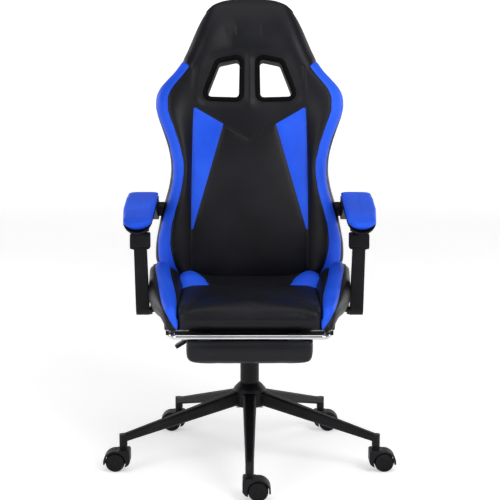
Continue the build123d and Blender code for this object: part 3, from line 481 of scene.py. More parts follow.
def stitches(name, runs, bvh, material, body, pitch=6.6, length=4.4, radius=0.42, sink=0.12):
    """Rows of separate raised thread stitches laid on a surface. Each run is points in metres and the direction to drop them along."""
    bm = bmesh.new()
    for pts, ray in runs:
        pts = [Vector(p) for p in pts]
        ray = Vector(ray).normalized()
        lengths = [0.0]
        for a, b in zip(pts, pts[1:]):
            lengths.append(lengths[-1] + (b - a).length)
        total = lengths[-1]
        n = max(1, int(total / (pitch * MM)))

        def at(s):
            s = min(max(s, 0.0), total)
            for k in range(len(pts) - 1):
                if s <= lengths[k + 1] or k == len(pts) - 2:
                    d = lengths[k + 1] - lengths[k]
                    return pts[k].lerp(pts[k + 1], (s - lengths[k]) / d if d > 0 else 0)

        for k in range(n):
            s0 = (k + 0.5) * total / n - length * MM / 2
            ring = []
            ok = True
            for u in (0.0, 0.18, 0.5, 0.82, 1.0):
                p = at(s0 + u * length * MM)
                hit, nor, _, _ = bvh.ray_cast(p - ray * 0.25, ray, 0.6)
                if hit is None:
                    ok = False
                    break
                if nor.dot(ray) > 0:
                    nor = -nor
                ring.append((hit, nor, u))
            if not ok or (ring[0][0] - ring[-1][0]).length > 2.2 * length * MM:
                continue
            along = (ring[-1][0] - ring[0][0]).normalized()
            loops = []
            for hit, nor, u in ring:
                side = along.cross(nor).normalized()
                r = radius * MM * (0.45 if u in (0.0, 1.0) else 1.0)
                lift = (-radius * 0.7 if u in (0.0, 1.0) else radius * (0.55 - sink)) * MM
                c = hit + nor * lift
                loops.append([bm.verts.new(c + (side * math.cos(t) + nor * math.sin(t)) * r)
                              for t in (i * math.pi / 3 for i in range(6))])
            for a, b in zip(loops, loops[1:]):
                for i in range(6):
                    bm.faces.new((a[i], a[(i + 1) % 6], b[(i + 1) % 6], b[i]))
            bm.faces.new(loops[0][::-1])
            bm.faces.new(loops[-1])
    bmesh.ops.recalc_face_normals(bm, faces=bm.faces)
    ob = link_mesh(name, bm, [material])
    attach(ob, body)
    return ob


def tube_loop(name, points, radius, material, body, closed=True, sides=8):
    """A sewn piping cord along a line of points, as a mesh tube."""
    bm = bmesh.new()
    pts = [Vector(p) for p in points]
    n = len(pts)
    rings = []
    up = None
    for i in range(n):
        a = pts[(i - 1) % n] if closed or i > 0 else pts[0]
        b = pts[(i + 1) % n] if closed or i < n - 1 else pts[-1]
        t = (b - a).normalized()
        if up is None:
            up = t.orthogonal().normalized()
        up = (up - t * up.dot(t)).normalized()
        s = t.cross(up)
        r = radius * MM
        rings.append([bm.verts.new(pts[i] + (up * math.cos(k * 2 * math.pi / sides) + s * math.sin(k * 2 * math.pi / sides)) * r)
                      for k in range(sides)])
    pairs = list(zip(rings, rings[1:]))
    for a, b in pairs:
        for k in range(sides):
            bm.faces.new((a[k], a[(k + 1) % sides], b[(k + 1) % sides], b[k]))
    if closed:
        a, b = rings[-1], rings[0]
        # the frame may have turned on its way round, so join to the nearest start
        off = min(range(sides), key=lambda o: (a[0].co - b[o].co).length)
        for k in range(sides):
            bm.faces.new((a[k], a[(k + 1) % sides], b[(k + 1 + off) % sides], b[(k + off) % sides]))
    else:
        bm.faces.new(rings[0][::-1])
        bm.faces.new(rings[-1])
    bmesh.ops.recalc_face_normals(bm, faces=bm.faces)
    ob = link_mesh(name, bm, [material])
    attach(ob, body)
    return ob


# ---------------------------------------------------------------- the back
LEAN = math.radians(10)
SL, CL = math.sin(LEAN), math.cos(LEAN)


def back_world(x, v, w):
    """x across, v up the back from the recline pivot, w forward of it; millimetres in, metres out."""
    return np.stack([x, 195 + v * SL - w * CL, 430 + v * CL + w * SL], axis=-1) * MM


HALF_WIDTH = [(14, 196), (36, 203), (44, 214), (52, 236), (62, 252), (75, 259.5), (100, 260.9), (125, 259.8), (150, 256), (175, 251.3),
              (200, 246.3), (225, 240.3), (250, 233.1), (275, 226.1), (300, 221.4), (325, 218.4), (351, 219.2), (376, 222.9), (401, 229.4),
              (426, 237.5), (451, 246.2), (476, 255.4), (502, 261.4), (527, 260.8), (552, 252), (577, 231.6), (602, 208.2), (628, 190),
              (653, 176.8), (678, 165.8), (703, 155.4), (728, 144.5), (754, 131), (772, 119)]
CREST = [(14, 178), (41, 184), (74, 201), (98, 207), (123, 210), (148, 209), (173, 206), (198, 200), (222, 194), (247, 187), (272, 181.5),
         (297, 177.5), (321, 175), (346, 176), (371, 181), (396, 186.5), (421, 195), (446, 202), (470, 211), (495, 217), (520, 217),
         (545, 208), (570, 189), (595, 164), (620, 145), (650, 129), (691, 112), (726, 98), (772, 72)]
STRIPE_IN = [(14, 186), (28, 190), (50, 201), (74, 209.3), (98, 214.8), (123, 217.6), (148, 216.3), (173, 213.3), (198, 207), (222, 201),
             (247, 193.5), (272, 187.6), (297, 183.5), (321, 181.4), (346, 182.4), (371, 187.5), (396, 193.5), (421, 202), (446, 210),
             (470, 219.5), (495, 225.9), (520, 226.3), (545, 218.5), (570, 200.7), (595, 180), (612, 168), (625, 162), (700, 130), (772, 90)]
STRIPE_OUT = [(14, 190), (44, 210), (62, 240), (74, 251), (99, 253.5), (124, 254.3), (149, 251.2), (174, 245), (199, 238.5), (224, 231.6),
              (249, 225.4), (274, 219), (299, 215), (324, 213.5), (349, 215), (374, 219.5), (399, 225), (424, 233.5), (449, 243.7),
              (474, 254), (499, 260.3), (524, 260.6), (549, 252)]
CENTRE_W = [(14, 24), (40, 38), (70, 44), (150, 51), (220, 52), (300, 48), (400, 41), (500, 38), (560, 39), (620, 42), (680, 44),
            (740, 38), (780, 26), (797, 13), (808, 2)]
CREST_RISE = [(14, 8), (60, 14), (100, 19), (200, 21), (300, 20), (400, 20), (470, 21), (520, 19), (560, 16), (600, 13), (640, 11),
              (700, 8), (772, 2)]
EDGE_W = [(14, 14), (100, 9), (300, 5), (500, 8), (600, 5), (700, 1), (772, -1)]
REAR_W = [(14, 15), (30, 3), (44, -24), (70, -33), (200, -38), (300, -42), (400, -45), (500, -45), (600, -41), (680, -36),
          (740, -30), (780, -19), (797, -9), (808, -3)]
SEAM_X = [(14, 159), (159, 159.8), (270, 159.1), (380, 157.6), (463, 156), (519, 152.8), (610, 150.5)]
COLUMN_X = [(14, 159), (159, 159.8), (270, 159.1), (380, 157.6), (463, 156), (519, 152.8), (590, 150), (612, 128), (640, 92), (700, 62),
            (772, 36)]
TOP_ARC = [(0.0, 35.0), (0.3, 33.6), (0.55, 28.8), (0.82, 16.5), (0.91, 8.5), (1.0, 0.0)]

vs = np.arange(14.0, 772.1, 3.3)
vs[-1] = 772.0
hw = soften(curve(HALF_WIDTH, vs), 2.2)
xc = soften(curve(CREST, vs), 3.0)
seam = curve(COLUMN_X, vs)
rise = soften(curve(CREST_RISE, vs), 3.0)
edge = curve(EDGE_W, vs)
lift_top = smooth((vs - 585) / (772 - 585)) ** 1.3

N_A, N_B, N_C, N_D, N_E = 46, 16, 22, 12, 34


def front_w(x, v, cx, sx, rs):
    """Front surface of the padding inside the crest: creased at the wing seams low down, one broad dish in the head."""
    c = curve(CENTRE_W, v)
    a = np.abs(x)
    head = smooth((v - 455) / 110)
    low = 1 - head
    line = np.minimum(curve(SEAM_X, v), cx - 12)
    wing = np.sin(np.clip((a - line) / np.maximum(cx - line, 8), 0, 1) * math.pi / 2)
    broad = smooth((a - 0.30 * cx) / (0.70 * cx))
    dish = -5.0 * np.minimum(a / np.maximum(line, 1), 1) ** 2 * low
    return c + dish + (rs + 5.0 * low) * (wing * low + broad * head)


def back_half(i):
    """Half loop from the middle of the front round the side to the middle of the rear: x, v, w and an arc place."""
    v0, h, c, s, rs, ew, lt = vs[i], hw[i], xc[i], min(seam[i], xc[i] - 6), rise[i], edge[i], lift_top[i]
    xa = np.linspace(0, s, N_A, endpoint=False)
    xb = s + (c - s) * np.linspace(0, 1, N_B, endpoint=False)
    xf = np.concatenate([xa, xb])
    th = np.linspace(0, math.pi / 2, N_C, endpoint=False)
    xside = c + (h - c) * np.sin(th)
    ph = np.linspace(0, math.pi / 2, N_D, endpoint=False)
    xr0 = h - min(34.0, 0.3 * h)
    xrear = xr0 + (h - xr0) * np.cos(ph)
    xe = np.linspace(xr0, 0, N_E)
    X = np.concatenate([xf, xside, xrear, xe])
    V = v0 + lt * curve(TOP_ARC, X / h)
    wf = front_w(xf, V[: len(xf)], c, s, rs)
    top = front_w(np.array([c]), V[len(xf):len(xf) + 1], c, s, rs)[0]
    vside = V[len(xf): len(xf) + N_C]
    # near the top the roll to the side follows the falling front
    fall = curve(CENTRE_W, vside) - curve(CENTRE_W, V[len(xf)])
    ws = ew + (top - ew) * np.cos(th) + fall * np.cos(th)
    rear_mid = curve(REAR_W, V)
    k = len(xf) + N_C
    wr0 = rear_mid[k + N_D] + 5.0 * (xr0 / h) ** 2
    vr = rear_mid[k:k + N_D]
    wrr = ew + (np.minimum(vr + 5.0 * (xr0 / h) ** 2, ew - 1.5) - ew) * np.sin(ph)
    we_ = rear_mid[k + N_D:] + 5.0 * (xe / h) ** 2
    W = np.concatenate([wf, ws, wrr, we_])
    arc = np.concatenate([np.full(len(xf), -1.0), th, math.pi / 2 + ph, np.full(N_E, 9.0)])
    return X, V, W, arc


def full_loop(half, mirror_sign):
    """Mirror a half loop about x = 0, both end columns shared."""
    return np.concatenate([half, mirror_sign * half[-2:0:-1]])


rows = [back_half(i) for i in range(len(vs))]
BX = np.array([full_loop(r[0], -1.0) for r in rows])
BV = np.array([full_loop(r[1], 1.0) for r in rows])
BW = np.array([full_loop(r[2], 1.0) for r in rows])
BA = np.array([full_loop(r[3], 1.0) for r in rows])
n_front = N_A + N_B


def close_end(X, V, W, A, first, reach):
    """Extra rings that round off an end towards its middle surface."""
    ring = 0 if first else -1
    x, v, w, a = X[ring], V[ring], W[ring], A[ring]
    half = len(x) // 2 + 1
    front = a < 1.5
    order = np.argsort(x[front])
    fw = np.interp(x, x[front][order], w[front][order])
    back_pts = ~front
    order = np.argsort(x[back_pts])
    rw = np.interp(x, x[back_pts][order], w[back_pts][order])
    mid = (fw + rw) / 2
    extra = []
    for deg in (32, 58, 80):
        t = math.radians(deg)
        sgn = -1 if first else 1
        extra.append((x * (1 - 0.012 * math.sin(t)), v + sgn * reach * math.sin(t), mid + (w - mid) * math.cos(t), a))
    if first:
        extra = extra[::-1]
        return [np.concatenate([np.array([e[k] for e in extra]), M]) for k, M in enumerate((X, V, W, A))]
    return [np.concatenate([M, np.array([e[k] for e in extra])]) for k, M in enumerate((X, V, W, A))]


BX, BV, BW, BA = close_end(BX, BV, BW, BA, True, 3.0)
BX, BV, BW, BA = close_end(BX, BV, BW, BA, False, 2.2)

TRI_TOP, TRI_IN, TRI_LOW, V_TIP = (153.0, 500.0), (72.5, 454.0), (159.5, 150.0), (0.0, 412.0)
CUT_IN, CUT_OUT = (160.0, 605.0), (196.0, 641.0)

ax = np.abs(BX)
is_front = BA < 0
stripe_in = curve(STRIPE_IN, BV)
half_at = curve(HALF_WIDTH, BV)
crest_at = curve(CREST, BV)
out_x = np.minimum(curve(STRIPE_OUT, BV), half_at)
out_arc = np.arcsin(np.clip((out_x - crest_at) / np.maximum(half_at - crest_at, 5), -1, 1))
out_arc = out_arc + (math.pi / 2 + 0.35 - out_arc) * smooth((BV - 470) / 60)
on_side = (BA >= 0) & (BA < 4)
# distance fields, positive outside the coloured panel
f_in = stripe_in - ax
f_out = np.where(on_side, (BA - out_arc) * 45.0, np.where(BA > 4, 60.0, -60.0))
f_cut = half_plane(ax, BV, CUT_IN, CUT_OUT)
f_stripe = np.maximum(np.maximum(f_in, f_out), f_cut)
f_tri = np.maximum(np.maximum(half_plane(ax, BV, TRI_IN, TRI_TOP), -half_plane(ax, BV, TRI_IN, TRI_LOW)),
                   ax - np.interp(BV, [p[0] for p in SEAM_X], [p[1] for p in SEAM_X]))
f_tri = np.where(is_front, f_tri, 40.0)
back_blue = np.minimum(f_stripe, f_tri)

# seams: how far each point is from the nearest sewn line
seam_line = np.interp(BV, [p[0] for p in SEAM_X], [p[1] for p in SEAM_X])
d_vert = np.where(BV < 612, np.abs(ax - seam_line), 99.0)
d_tri = segment_distance(ax, BV, TRI_IN, TRI_LOW)
d_vee = np.minimum(segment_distance(ax, BV, TRI_TOP, TRI_IN), segment_distance(ax, BV, TRI_IN, V_TIP))
d_in = np.where((BV < 610) & (BA < 1.5), np.abs(f_in), 99.0)
d_out = np.where((BV < 634) & on_side, np.abs(f_out), 99.0)
d_cut = np.where(np.abs(f_cut) < 30, segment_distance(ax, BV, CUT_IN, (189, 634)), 99.0)
d_cut = np.where(BA < 2.0, d_cut, 99.0)
d_rear = np.where(BA >= 0, np.abs(BA - (math.pi / 2 + 1.2)) * 40.0, 99.0)
front_d = np.where(is_front, np.minimum(np.minimum(d_vert, d_tri), d_vee), 99.0)
seam_d = np.minimum(np.minimum(np.minimum(front_d, d_in), np.minimum(d_out, d_cut)), d_rear)

P = back_world(BX, BV, BW)
# the cover swells between its held seams
pin = np.exp(-(seam_d / 5.0) ** 2)
pin = np.maximum(pin, np.where(BA > 1.5, 0.85, 0.0))
pin[:6] = 1.0
pin[-6:] = 1.0
hole_box = (ax > 14) & (ax < 140) & (BV > 508) & (BV < 652)
pin = np.where(hole_box & (BA < 0), 1.0, pin)
P = P + inflate(P, pin, 3.0, 7.0)
N = grid_normals(P)
groove = -1.7 * np.exp(-(seam_d / 2.3) ** 2) - 0.8 * np.exp(-(seam_d / 7.0) ** 2)
# the padding dips to the strap holes
HOLE = [(84, 621), (29, 633), (31, 530), (119, 532)]
d_hole = np.min([segment_distance(ax, BV, HOLE[k], HOLE[(k + 1) % 4]) for k in range(4)], axis=0)
in_hole = np.max([half_plane(ax, BV, HOLE[k], HOLE[(k + 1) % 4]) * -1 for k in range(4)], axis=0) < 0
d_hole = np.where(in_hole, 0.0, d_hole)
dip = np.exp(-(np.maximum(d_hole - 13.0, 0) / 15.0) ** 2)
groove = groove - np.where(BA < 0, 4.5, np.where(BA > 4, 3.5, 0.0)) * dip
P = P + N * (groove * MM)[..., None]

bm = grid_bmesh(P, {"blue": back_blue})
cut_at_zero(bm, "blue")
paint_by(bm, "blue", 1)
back_cover = link_mesh("back_cover", bm, [PU_BLACK, PU_BLUE])

# strap holes: cut through the padding, then lined by the bezels
def rounded_polygon(corners, radius, per_corner=10, per_side=8):
    """Corner-rounded polygon as an even list of points."""
    out = []
    n = len(corners)
    for i in range(n):
        p0, p1, p2 = (np.array(corners[(i + k - 1) % n], float) for k in range(3))
        a, b = (p0 - p1) / np.linalg.norm(p0 - p1), (p2 - p1) / np.linalg.norm(p2 - p1)
        ang = math.acos(np.clip(np.dot(a, b), -1, 1))
        d = radius / math.tan(ang / 2)
        s, e = p1 + a * d, p1 + b * d
        centre = p1 + (a + b) / np.linalg.norm(a + b) * (radius / math.sin(ang / 2))
        t0 = math.atan2(*(s - centre)[::-1])
        t1 = math.atan2(*(e - centre)[::-1])
        dt = (t1 - t0 + math.pi) % (2 * math.pi) - math.pi
        for k in range(per_corner + 1):
            t = t0 + dt * k / per_corner
            out.append(centre + radius * np.array([math.cos(t), math.sin(t)]))
        p3 = np.array(corners[(i + 2) % n], float)
        b2 = (p1 - p2) / np.linalg.norm(p1 - p2)
        c2 = (p3 - p2) / np.linalg.norm(p3 - p2)
        d2 = radius / math.tan(math.acos(np.clip(np.dot(b2, c2), -1, 1)) / 2)
        nxt = p2 + b2 * d2
        for k in range(1, per_side):
            out.append(e + (nxt - e) * k / per_side)
    return np.array(out)


hole_line = rounded_polygon(HOLE, 9.0)
t = np.roll(hole_line, -1, axis=0) - np.roll(hole_line, 1, axis=0)
t /= np.linalg.norm(t, axis=1, keepdims=True)
area = np.sum(hole_line[:, 0] * np.roll(hole_line[:, 1], -1) - np.roll(hole_line[:, 0], -1) * hole_line[:, 1])
hole_out = np.stack([t[:, 1], -t[:, 0]], axis=1) * (1 if area > 0 else -1)


def hole_ring(side, off, w):
    q = hole_line + hole_out * off
    return back_world(side * q[:, 0], q[:, 1], np.broadcast_to(w, q[:, 0].shape))


cutters = []
for side in (1, -1):
    C = np.stack([hole_ring(side, 6.5, -90.0), hole_ring(side, 6.5, 0.0), hole_ring(side, 6.5, 110.0)])
    cm = grid_bmesh(C)
    co = link_mesh("hole_cutter", cm, [])
    cutters.append(co)
for co in cutters:
    mod = back_cover.modifiers.new("hole", "BOOLEAN")
    mod.operation = "DIFFERENCE"
    mod.object = co
    mod.solver = "EXACT"
dg = bpy.context.evaluated_depsgraph_get()
holed = bpy.data.meshes.new_from_object(back_cover.evaluated_get(dg))
back_cover.modifiers.clear()
old = back_cover.data
back_cover.data = holed
bpy.data.meshes.remove(old)
for co in cutters:
    bpy.data.objects.remove(co)
holed.polygons.foreach_set("use_smooth", [True] * len(holed.polygons))
for p in holed.polygons:
    if p.material_index > 1:
        p.material_index = 0
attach(back_cover, "back")
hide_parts("back_cushion")

bmb = bmesh.new()
bmb.from_mesh(back_cover.data)
back_tree = BVHTree.FromBMesh(bmb)
bmb.free()
FWD = Vector((0.0, CL, -SL))          # from the front into the back


def surface_w(x, v, front=True):
    """w of the finished cover at (x, v)."""
    start = Vector(back_world(np.array(x), np.array(v), np.array(160.0 if front else -160.0)))
    hit, _, _, d = back_tree.ray_cast(start, FWD if front else -FWD, 0.4)
    if hit is None:
        return None
    return (160.0 - d * 1000) if front else (-160.0 + d * 1000)


# bezels that line the strap holes
for side, tag in ((1, "left"), (-1, "right")):
    q = hole_line + hole_out * 16.0
    fw, rw = [], []
    for (x, v) in q:
        a = surface_w(side * x, v, True)
        b = surface_w(side * x, v, False)
        fw.append(a if a is not None else np.nan)
        rw.append(b if b is not None else np.nan)
    fw, rw = np.array(fw), np.array(rw)
    fw = np.where(np.isnan(fw), np.nanmedian(fw), fw)
    rw = np.where(np.isnan(rw), np.nanmedian(rw), rw)

    def ring_soft(a):
        k = np.exp(-0.5 * (np.arange(-12, 13) / 4.0) ** 2)
        k /= k.sum()
        return np.convolve(np.concatenate([a[-12:], a, a[:12]]), k, mode="valid")

    fw, rw = ring_soft(fw), ring_soft(rw)
    prof = [(0.8, rw + 6), (0.8, (fw + rw) / 2), (0.8, fw - 12), (1.0, fw - 6), (1.9, fw - 2.4), (3.8, fw + 0.4), (6.4, fw + 2.0),
            (9.4, fw + 2.6), (12.2, fw + 2.2), (14.4, fw + 0.9), (15.4, fw - 1.2), (14.6, fw - 4.0), (9.0, fw - 8.0), (6.3, fw - 13),
            (6.3, (fw + rw) / 2), (6.3, rw + 12), (9.0, rw + 7.0), (13.6, rw + 4.0), (14.6, rw + 0.6), (13.4, rw - 1.4),
            (10.5, rw - 2.4), (7.0, rw - 2.6), (3.6, rw - 1.6), (1.5, rw + 1.0)]
    B = np.stack([hole_ring(side, o, w) for o, w in prof])
    bm = bmesh.new()
    V = [[bm.verts.new(B[i, j]) for j in range(B.shape[1])] for i in range(B.shape[0])]
    for i in range(len(V)):
        for j in range(B.shape[1]):
            k, l = (i + 1) % len(V), (j + 1) % B.shape[1]
            bm.faces.new((V[i][j], V[i][l], V[k][l], V[k][j]))
    bmesh.ops.recalc_face_normals(bm, faces=bm.faces)
    # the bezels use the darker nylon, whose extra darkness is painted shade of the hole recess
    bez = link_mesh("strap_bezel_" + tag, bm, [BEZEL_BLACK_PAINTED_SHADE])
    sub = bez.modifiers.new("soft", "SUBSURF")
    sub.levels = sub.render_levels = 1
    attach(bez, "back")
    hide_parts("strap_bezels")


def back_run(pairs):
    return ([tuple(back_world(np.array(float(x)), np.array(float(v)), np.array(60.0))) for x, v in pairs], FWD)


def offset_line(pairs, off):
    p = np.array(pairs, float)
    t = np.gradient(p, axis=0)
    t /= np.linalg.norm(t, axis=1, keepdims=True)
    return p + np.stack([t[:, 1], -t[:, 0]], axis=1) * off


def dense(pairs, n=40):
    p = np.array(pairs, float)
    s = np.concatenate([[0], np.cumsum(np.linalg.norm(np.diff(p, axis=0), axis=1))])
    u = np.linspace(0, s[-1], n)
    return np.stack([np.interp(u, s, p[:, k]) for k in range(2)], axis=1)


vv = np.arange(44, 600, 6.0)
seam_pts = np.stack([np.interp(vv, [p[0] for p in SEAM_X], [p[1] for p in SEAM_X]), vv], axis=1)
vi = np.arange(60, 600, 6.0)
in_pts = np.stack([curve(STRIPE_IN, vi), vi], axis=1)
runs_black, runs_blue = [], []
for sgn in (1, -1):
    m = np.array([sgn, 1.0])
    runs_black.append(back_run(offset_line(seam_pts, 3.4) * m))
    low = seam_pts[seam_pts[:, 1] < 158]
    high = seam_pts[seam_pts[:, 1] > 502]
    mid = seam_pts[(seam_pts[:, 1] > 178) & (seam_pts[:, 1] < 496)]
    for part in (low, high):
        runs_black.append(back_run(offset_line(part, -3.4) * m))
    runs_blue.append(back_run(offset_line(mid, -3.4) * m))
    tri = dense([TRI_IN, TRI_LOW], 60)
    runs_black.append(back_run(offset_line(tri[2:-6], 3.4) * m))
    runs_blue.append(back_run(offset_line(tri[2:-12], -3.4) * m))
    vee = dense([TRI_TOP, TRI_IN], 24)
    runs_black.append(back_run(offset_line(vee[1:-1], 3.4) * m))
    runs_blue.append(back_run(offset_line(vee[2:-2], -3.4) * m))
    tip = dense([TRI_IN, V_TIP], 20)
    runs_black.append(back_run(offset_line(tip[1:-1], 3.4) * m))
    runs_black.append(back_run(offset_line(tip[1:-1], -3.4) * m))
    runs_black.append(back_run(offset_line(in_pts, -3.4) * m))
    runs_blue.append(back_run(offset_line(in_pts, 3.4) * m))
st = stitches("back_stitching_black", runs_black, back_tree, THREAD_BLACK, "back")
st = stitches("back_stitching_blue", runs_blue, back_tree, THREAD_BLUE, "back")

# the rear panel is set in with piping and a row of stitches on each side of it
vr = np.arange(84, 712, 7.0)
side_pts = np.stack([curve(HALF_WIDTH, vr) - 34.0, vr], axis=1)
t = np.linspace(0.06, 1.0, 22) * math.pi / 2
x_top = side_pts[-1, 0]
arc_pts = np.stack([x_top * np.cos(t) ** 0.62, 709.0 + 58.0 * np.sin(t) ** 1.1], axis=1)
half_pts = np.concatenate([side_pts, arc_pts[:-1]])
low_x = np.linspace(-side_pts[0, 0], side_pts[0, 0], 60)[1:-1]
low_pts = np.stack([low_x, 84.0 - 4.0 * (1 - (low_x / side_pts[0, 0]) ** 2)], axis=1)
rear_loop = np.concatenate([half_pts, [[0.0, 767.0]], (half_pts * [-1, 1])[::-1], low_pts])
for _ in range(6):
    rear_loop = (np.roll(rear_loop, 1, axis=0) + 2 * rear_loop + np.roll(rear_loop, -1, axis=0)) / 4
rear_w = [surface_w(x, v, False) for x, v in rear_loop]
piping = np.array([back_world(np.array(x), np.array(v), np.array(w - 0.5)) for (x, v), w in zip(rear_loop, rear_w) if w is not None])
tb = tube_loop("back_rear_piping", piping, 2.1, PU_BLACK, "back")


def rear_run(pairs):
    return ([tuple(back_world(np.array(float(x)), np.array(float(v)), np.array(-100.0))) for x, v in pairs], -FWD)


closed = np.concatenate([rear_loop, rear_loop[:2]])
st = stitches("back_stitching_rear", [rear_run(offset_line(closed, 5.5)), rear_run(offset_line(closed, -5.5))], back_tree, THREAD_BLACK, "back")


# ---------------------------------------------------------------- seat cushion
SEAT_HALF = [(-272, 173), (-262, 177.5), (-245, 180), (-200, 180.5), (-120, 180.5), (-40, 182), (20, 187), (60, 190), (150, 190)]
xs_lin = np.linspace(-1, 1, 129)
# finer rows near the two sides
xs_rel = np.sign(xs_lin) * (1 - (1 - np.abs(xs_lin)) ** 1.15)
# profile round the cushion: bottom rear, bottom, lip, front, top, rear
profile = [(148, 426), (60, 424.5), (-120, 424.5), (-240, 424.5), (-249, 420), (-251, 410), (-255, 404.5), (-262, 404.0), (-267.5, 408),
           (-270, 420), (-270.5, 434), (-268, 447), (-261, 457), (-249, 463.5), (-230, 467), (-200, 468.5), (-150, 469.5), (-80, 470),
           (0, 470.5), (60, 471.5), (110, 472), (134, 469), (146, 460), (151, 446), (151, 434)]


def closed_spline(pts, n):
    """Closed centripetal curve through points, evenly spaced samples."""
    p = np.array(pts, float)
    m = len(p)
    out = []
    for i in range(m):
        p0, p1, p2, p3 = p[(i - 1) % m], p[i], p[(i + 1) % m], p[(i + 2) % m]
        t0 = 0.0
        t1 = t0 + max(np.linalg.norm(p1 - p0), 1e-6) ** 0.5
        t2 = t1 + max(np.linalg.norm(p2 - p1), 1e-6) ** 0.5
        t3 = t2 + max(np.linalg.norm(p3 - p2), 1e-6) ** 0.5
        for u in np.linspace(t1, t2, 24, endpoint=False):
            a1 = p0 * (t1 - u) / (t1 - t0) + p1 * (u - t0) / (t1 - t0)
            a2 = p1 * (t2 - u) / (t2 - t1) + p2 * (u - t1) / (t2 - t1)
            a3 = p2 * (t3 - u) / (t3 - t2) + p3 * (u - t2) / (t3 - t2)
            b1 = a1 * (t2 - u) / (t2 - t0) + a2 * (u - t0) / (t2 - t0)
            b2 = a2 * (t3 - u) / (t3 - t1) + a3 * (u - t1) / (t3 - t1)
            out.append(b1 * (t2 - u) / (t2 - t1) + b2 * (u - t1) / (t2 - t1))
    out = np.array(out)
    ring = np.vstack([out, out[:1]])
    s = np.concatenate([[0], np.cumsum(np.linalg.norm(np.diff(ring, axis=0), axis=1))])
    u = np.linspace(0, s[-1], n, endpoint=False)
    return np.stack([np.interp(u, s, ring[:, k]) for k in range(2)], axis=1)


loop = closed_spline(profile, 300)
SY = np.broadcast_to(loop[:, 0], (len(xs_rel), len(loop))).copy()
SZ = np.broadcast_to(loop[:, 1], (len(xs_rel), len(loop))).copy()
half_seat = curve(SEAT_HALF, SY)
SX = xs_rel[:, None] * half_seat
rel = np.abs(xs_rel)[:, None]
top_part = smooth((SZ - 440) / 22) * np.ones_like(SX)
# crowned between the bolsters, drawn down at both sides
SZ += top_part * (2.0 - 8.0 * rel ** 3)
side_roll = np.clip((rel - 0.915) / 0.085, 0, 1)
drop = 1 - np.sqrt(np.clip(1 - side_roll ** 2, 0, 1))
SZ -= top_part * drop * 17.0 * (1 - 0.72 * smooth((SY + 22) / 44))
SY += smooth((-225 - SY) / 30) * drop * 9.0
SX = np.sign(xs_rel)[:, None] * np.abs(SX)
# fuller rear corners
hump = smooth((SY - 14) / 56) * np.exp(-((np.abs(SX) - 166) / 46.0) ** 2) * smooth((156 - SY) / 14 + 0.35)
SZ += top_part * hump * 22.0
# a shallow dish where one sits
SZ -= top_part * 4.0 * np.exp(-((SX / 110.0) ** 2)) * np.exp(-(((SY - 10) / 110.0) ** 2))
# the front lip swells a little between its corners
SY -= 3.0 * smooth((-235 - SY) / 25) * smooth((SZ - 402) / 16) * (1 - rel ** 4)

S_IN, S_BEND, S_FRONT, S_MID, S_REAR = (106.0, 20.5), (154.0, 25.0), (190.0, -2.0), (121.0, 82.0), (160.0, 156.0)
sax = np.abs(SX)
front_edge = np.interp(sax, [S_IN[0], S_BEND[0], S_FRONT[0]], [S_IN[1], S_BEND[1], S_FRONT[1]])
seat_tri = np.maximum(np.maximum((front_edge - SY) * 0.9, half_plane(sax, SY, S_IN, S_MID)), half_plane(sax, SY, S_MID, S_REAR))
seat_tri = np.where(SZ > 444, seat_tri, 40.0)
d_seat = np.min([segment_distance(sax, SY, S_IN, S_BEND), segment_distance(sax, SY, S_BEND, S_FRONT), segment_distance(sax, SY, S_IN, S_MID), segment_distance(sax, SY, S_MID, S_REAR)], axis=0)
d_seat = np.where(SZ > 444, d_seat, 99.0)
# the cover swells between its seams, held along the bottom and at the sides, the front lip's lower part held less
S = np.stack([SX, SY, SZ], axis=-1) * MM
pin = np.exp(-(d_seat / 6.0) ** 2)
pin = np.maximum(pin, np.where(SZ < 427, 1.0, 0.0) * np.where(SY > -245, 1.0, 0.6))
pin = np.maximum(pin, np.where(rel > 0.97, 0.9, 0.0) * np.ones_like(pin))
S = S + inflate(S, pin, 3.2, 8.0)
n = grid_normals(S)
groove = -2.6 * np.exp(-(d_seat / 2.8) ** 2) - 1.6 * np.exp(-(d_seat / 9.0) ** 2)
ripple = 0.30 * np.sin(SX * 0.33 + 1.4 * np.sin(SX * 0.05)) * np.exp(-((SY + 262) / 10.0) ** 2) * smooth((430 - SZ) / 14)
S = S + n * ((groove + ripple) * MM)[..., None]
bm = grid_bmesh(S, {"blue": seat_tri})
cut_at_zero(bm, "blue")
paint_by(bm, "blue", 1)
seat_tree = BVHTree.FromBMesh(bm)
seat_cover = link_mesh("seat_cover", bm, [PU_BLACK, PU_BLUE])
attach(seat_cover, "seat")
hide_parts("seat_cushion")

DOWN = Vector((0, 0, -1))
runs_black, runs_blue = [], []
for sgn in (1, -1):
    a = dense([S_IN, S_BEND, (177, 7.8)], 24)
    b = dense([S_IN, S_MID, S_REAR], 44)[:-4]
    for line, sb in ((a, 1), (b, -1)):
        black = offset_line(line, 3.4 * sb)
        blue = offset_line(line, -3.4 * sb)
        runs_black.append(([(sgn * x * MM, y * MM, 0.52) for x, y in black[1:]], DOWN))
        runs_blue.append(([(sgn * x * MM, y * MM, 0.52) for x, y in blue[2:]], DOWN))
st = stitches("seat_stitching_black", runs_black, seat_tree, THREAD_BLACK, "seat")
st = stitches("seat_stitching_blue", runs_blue, seat_tree, THREAD_BLUE, "seat")


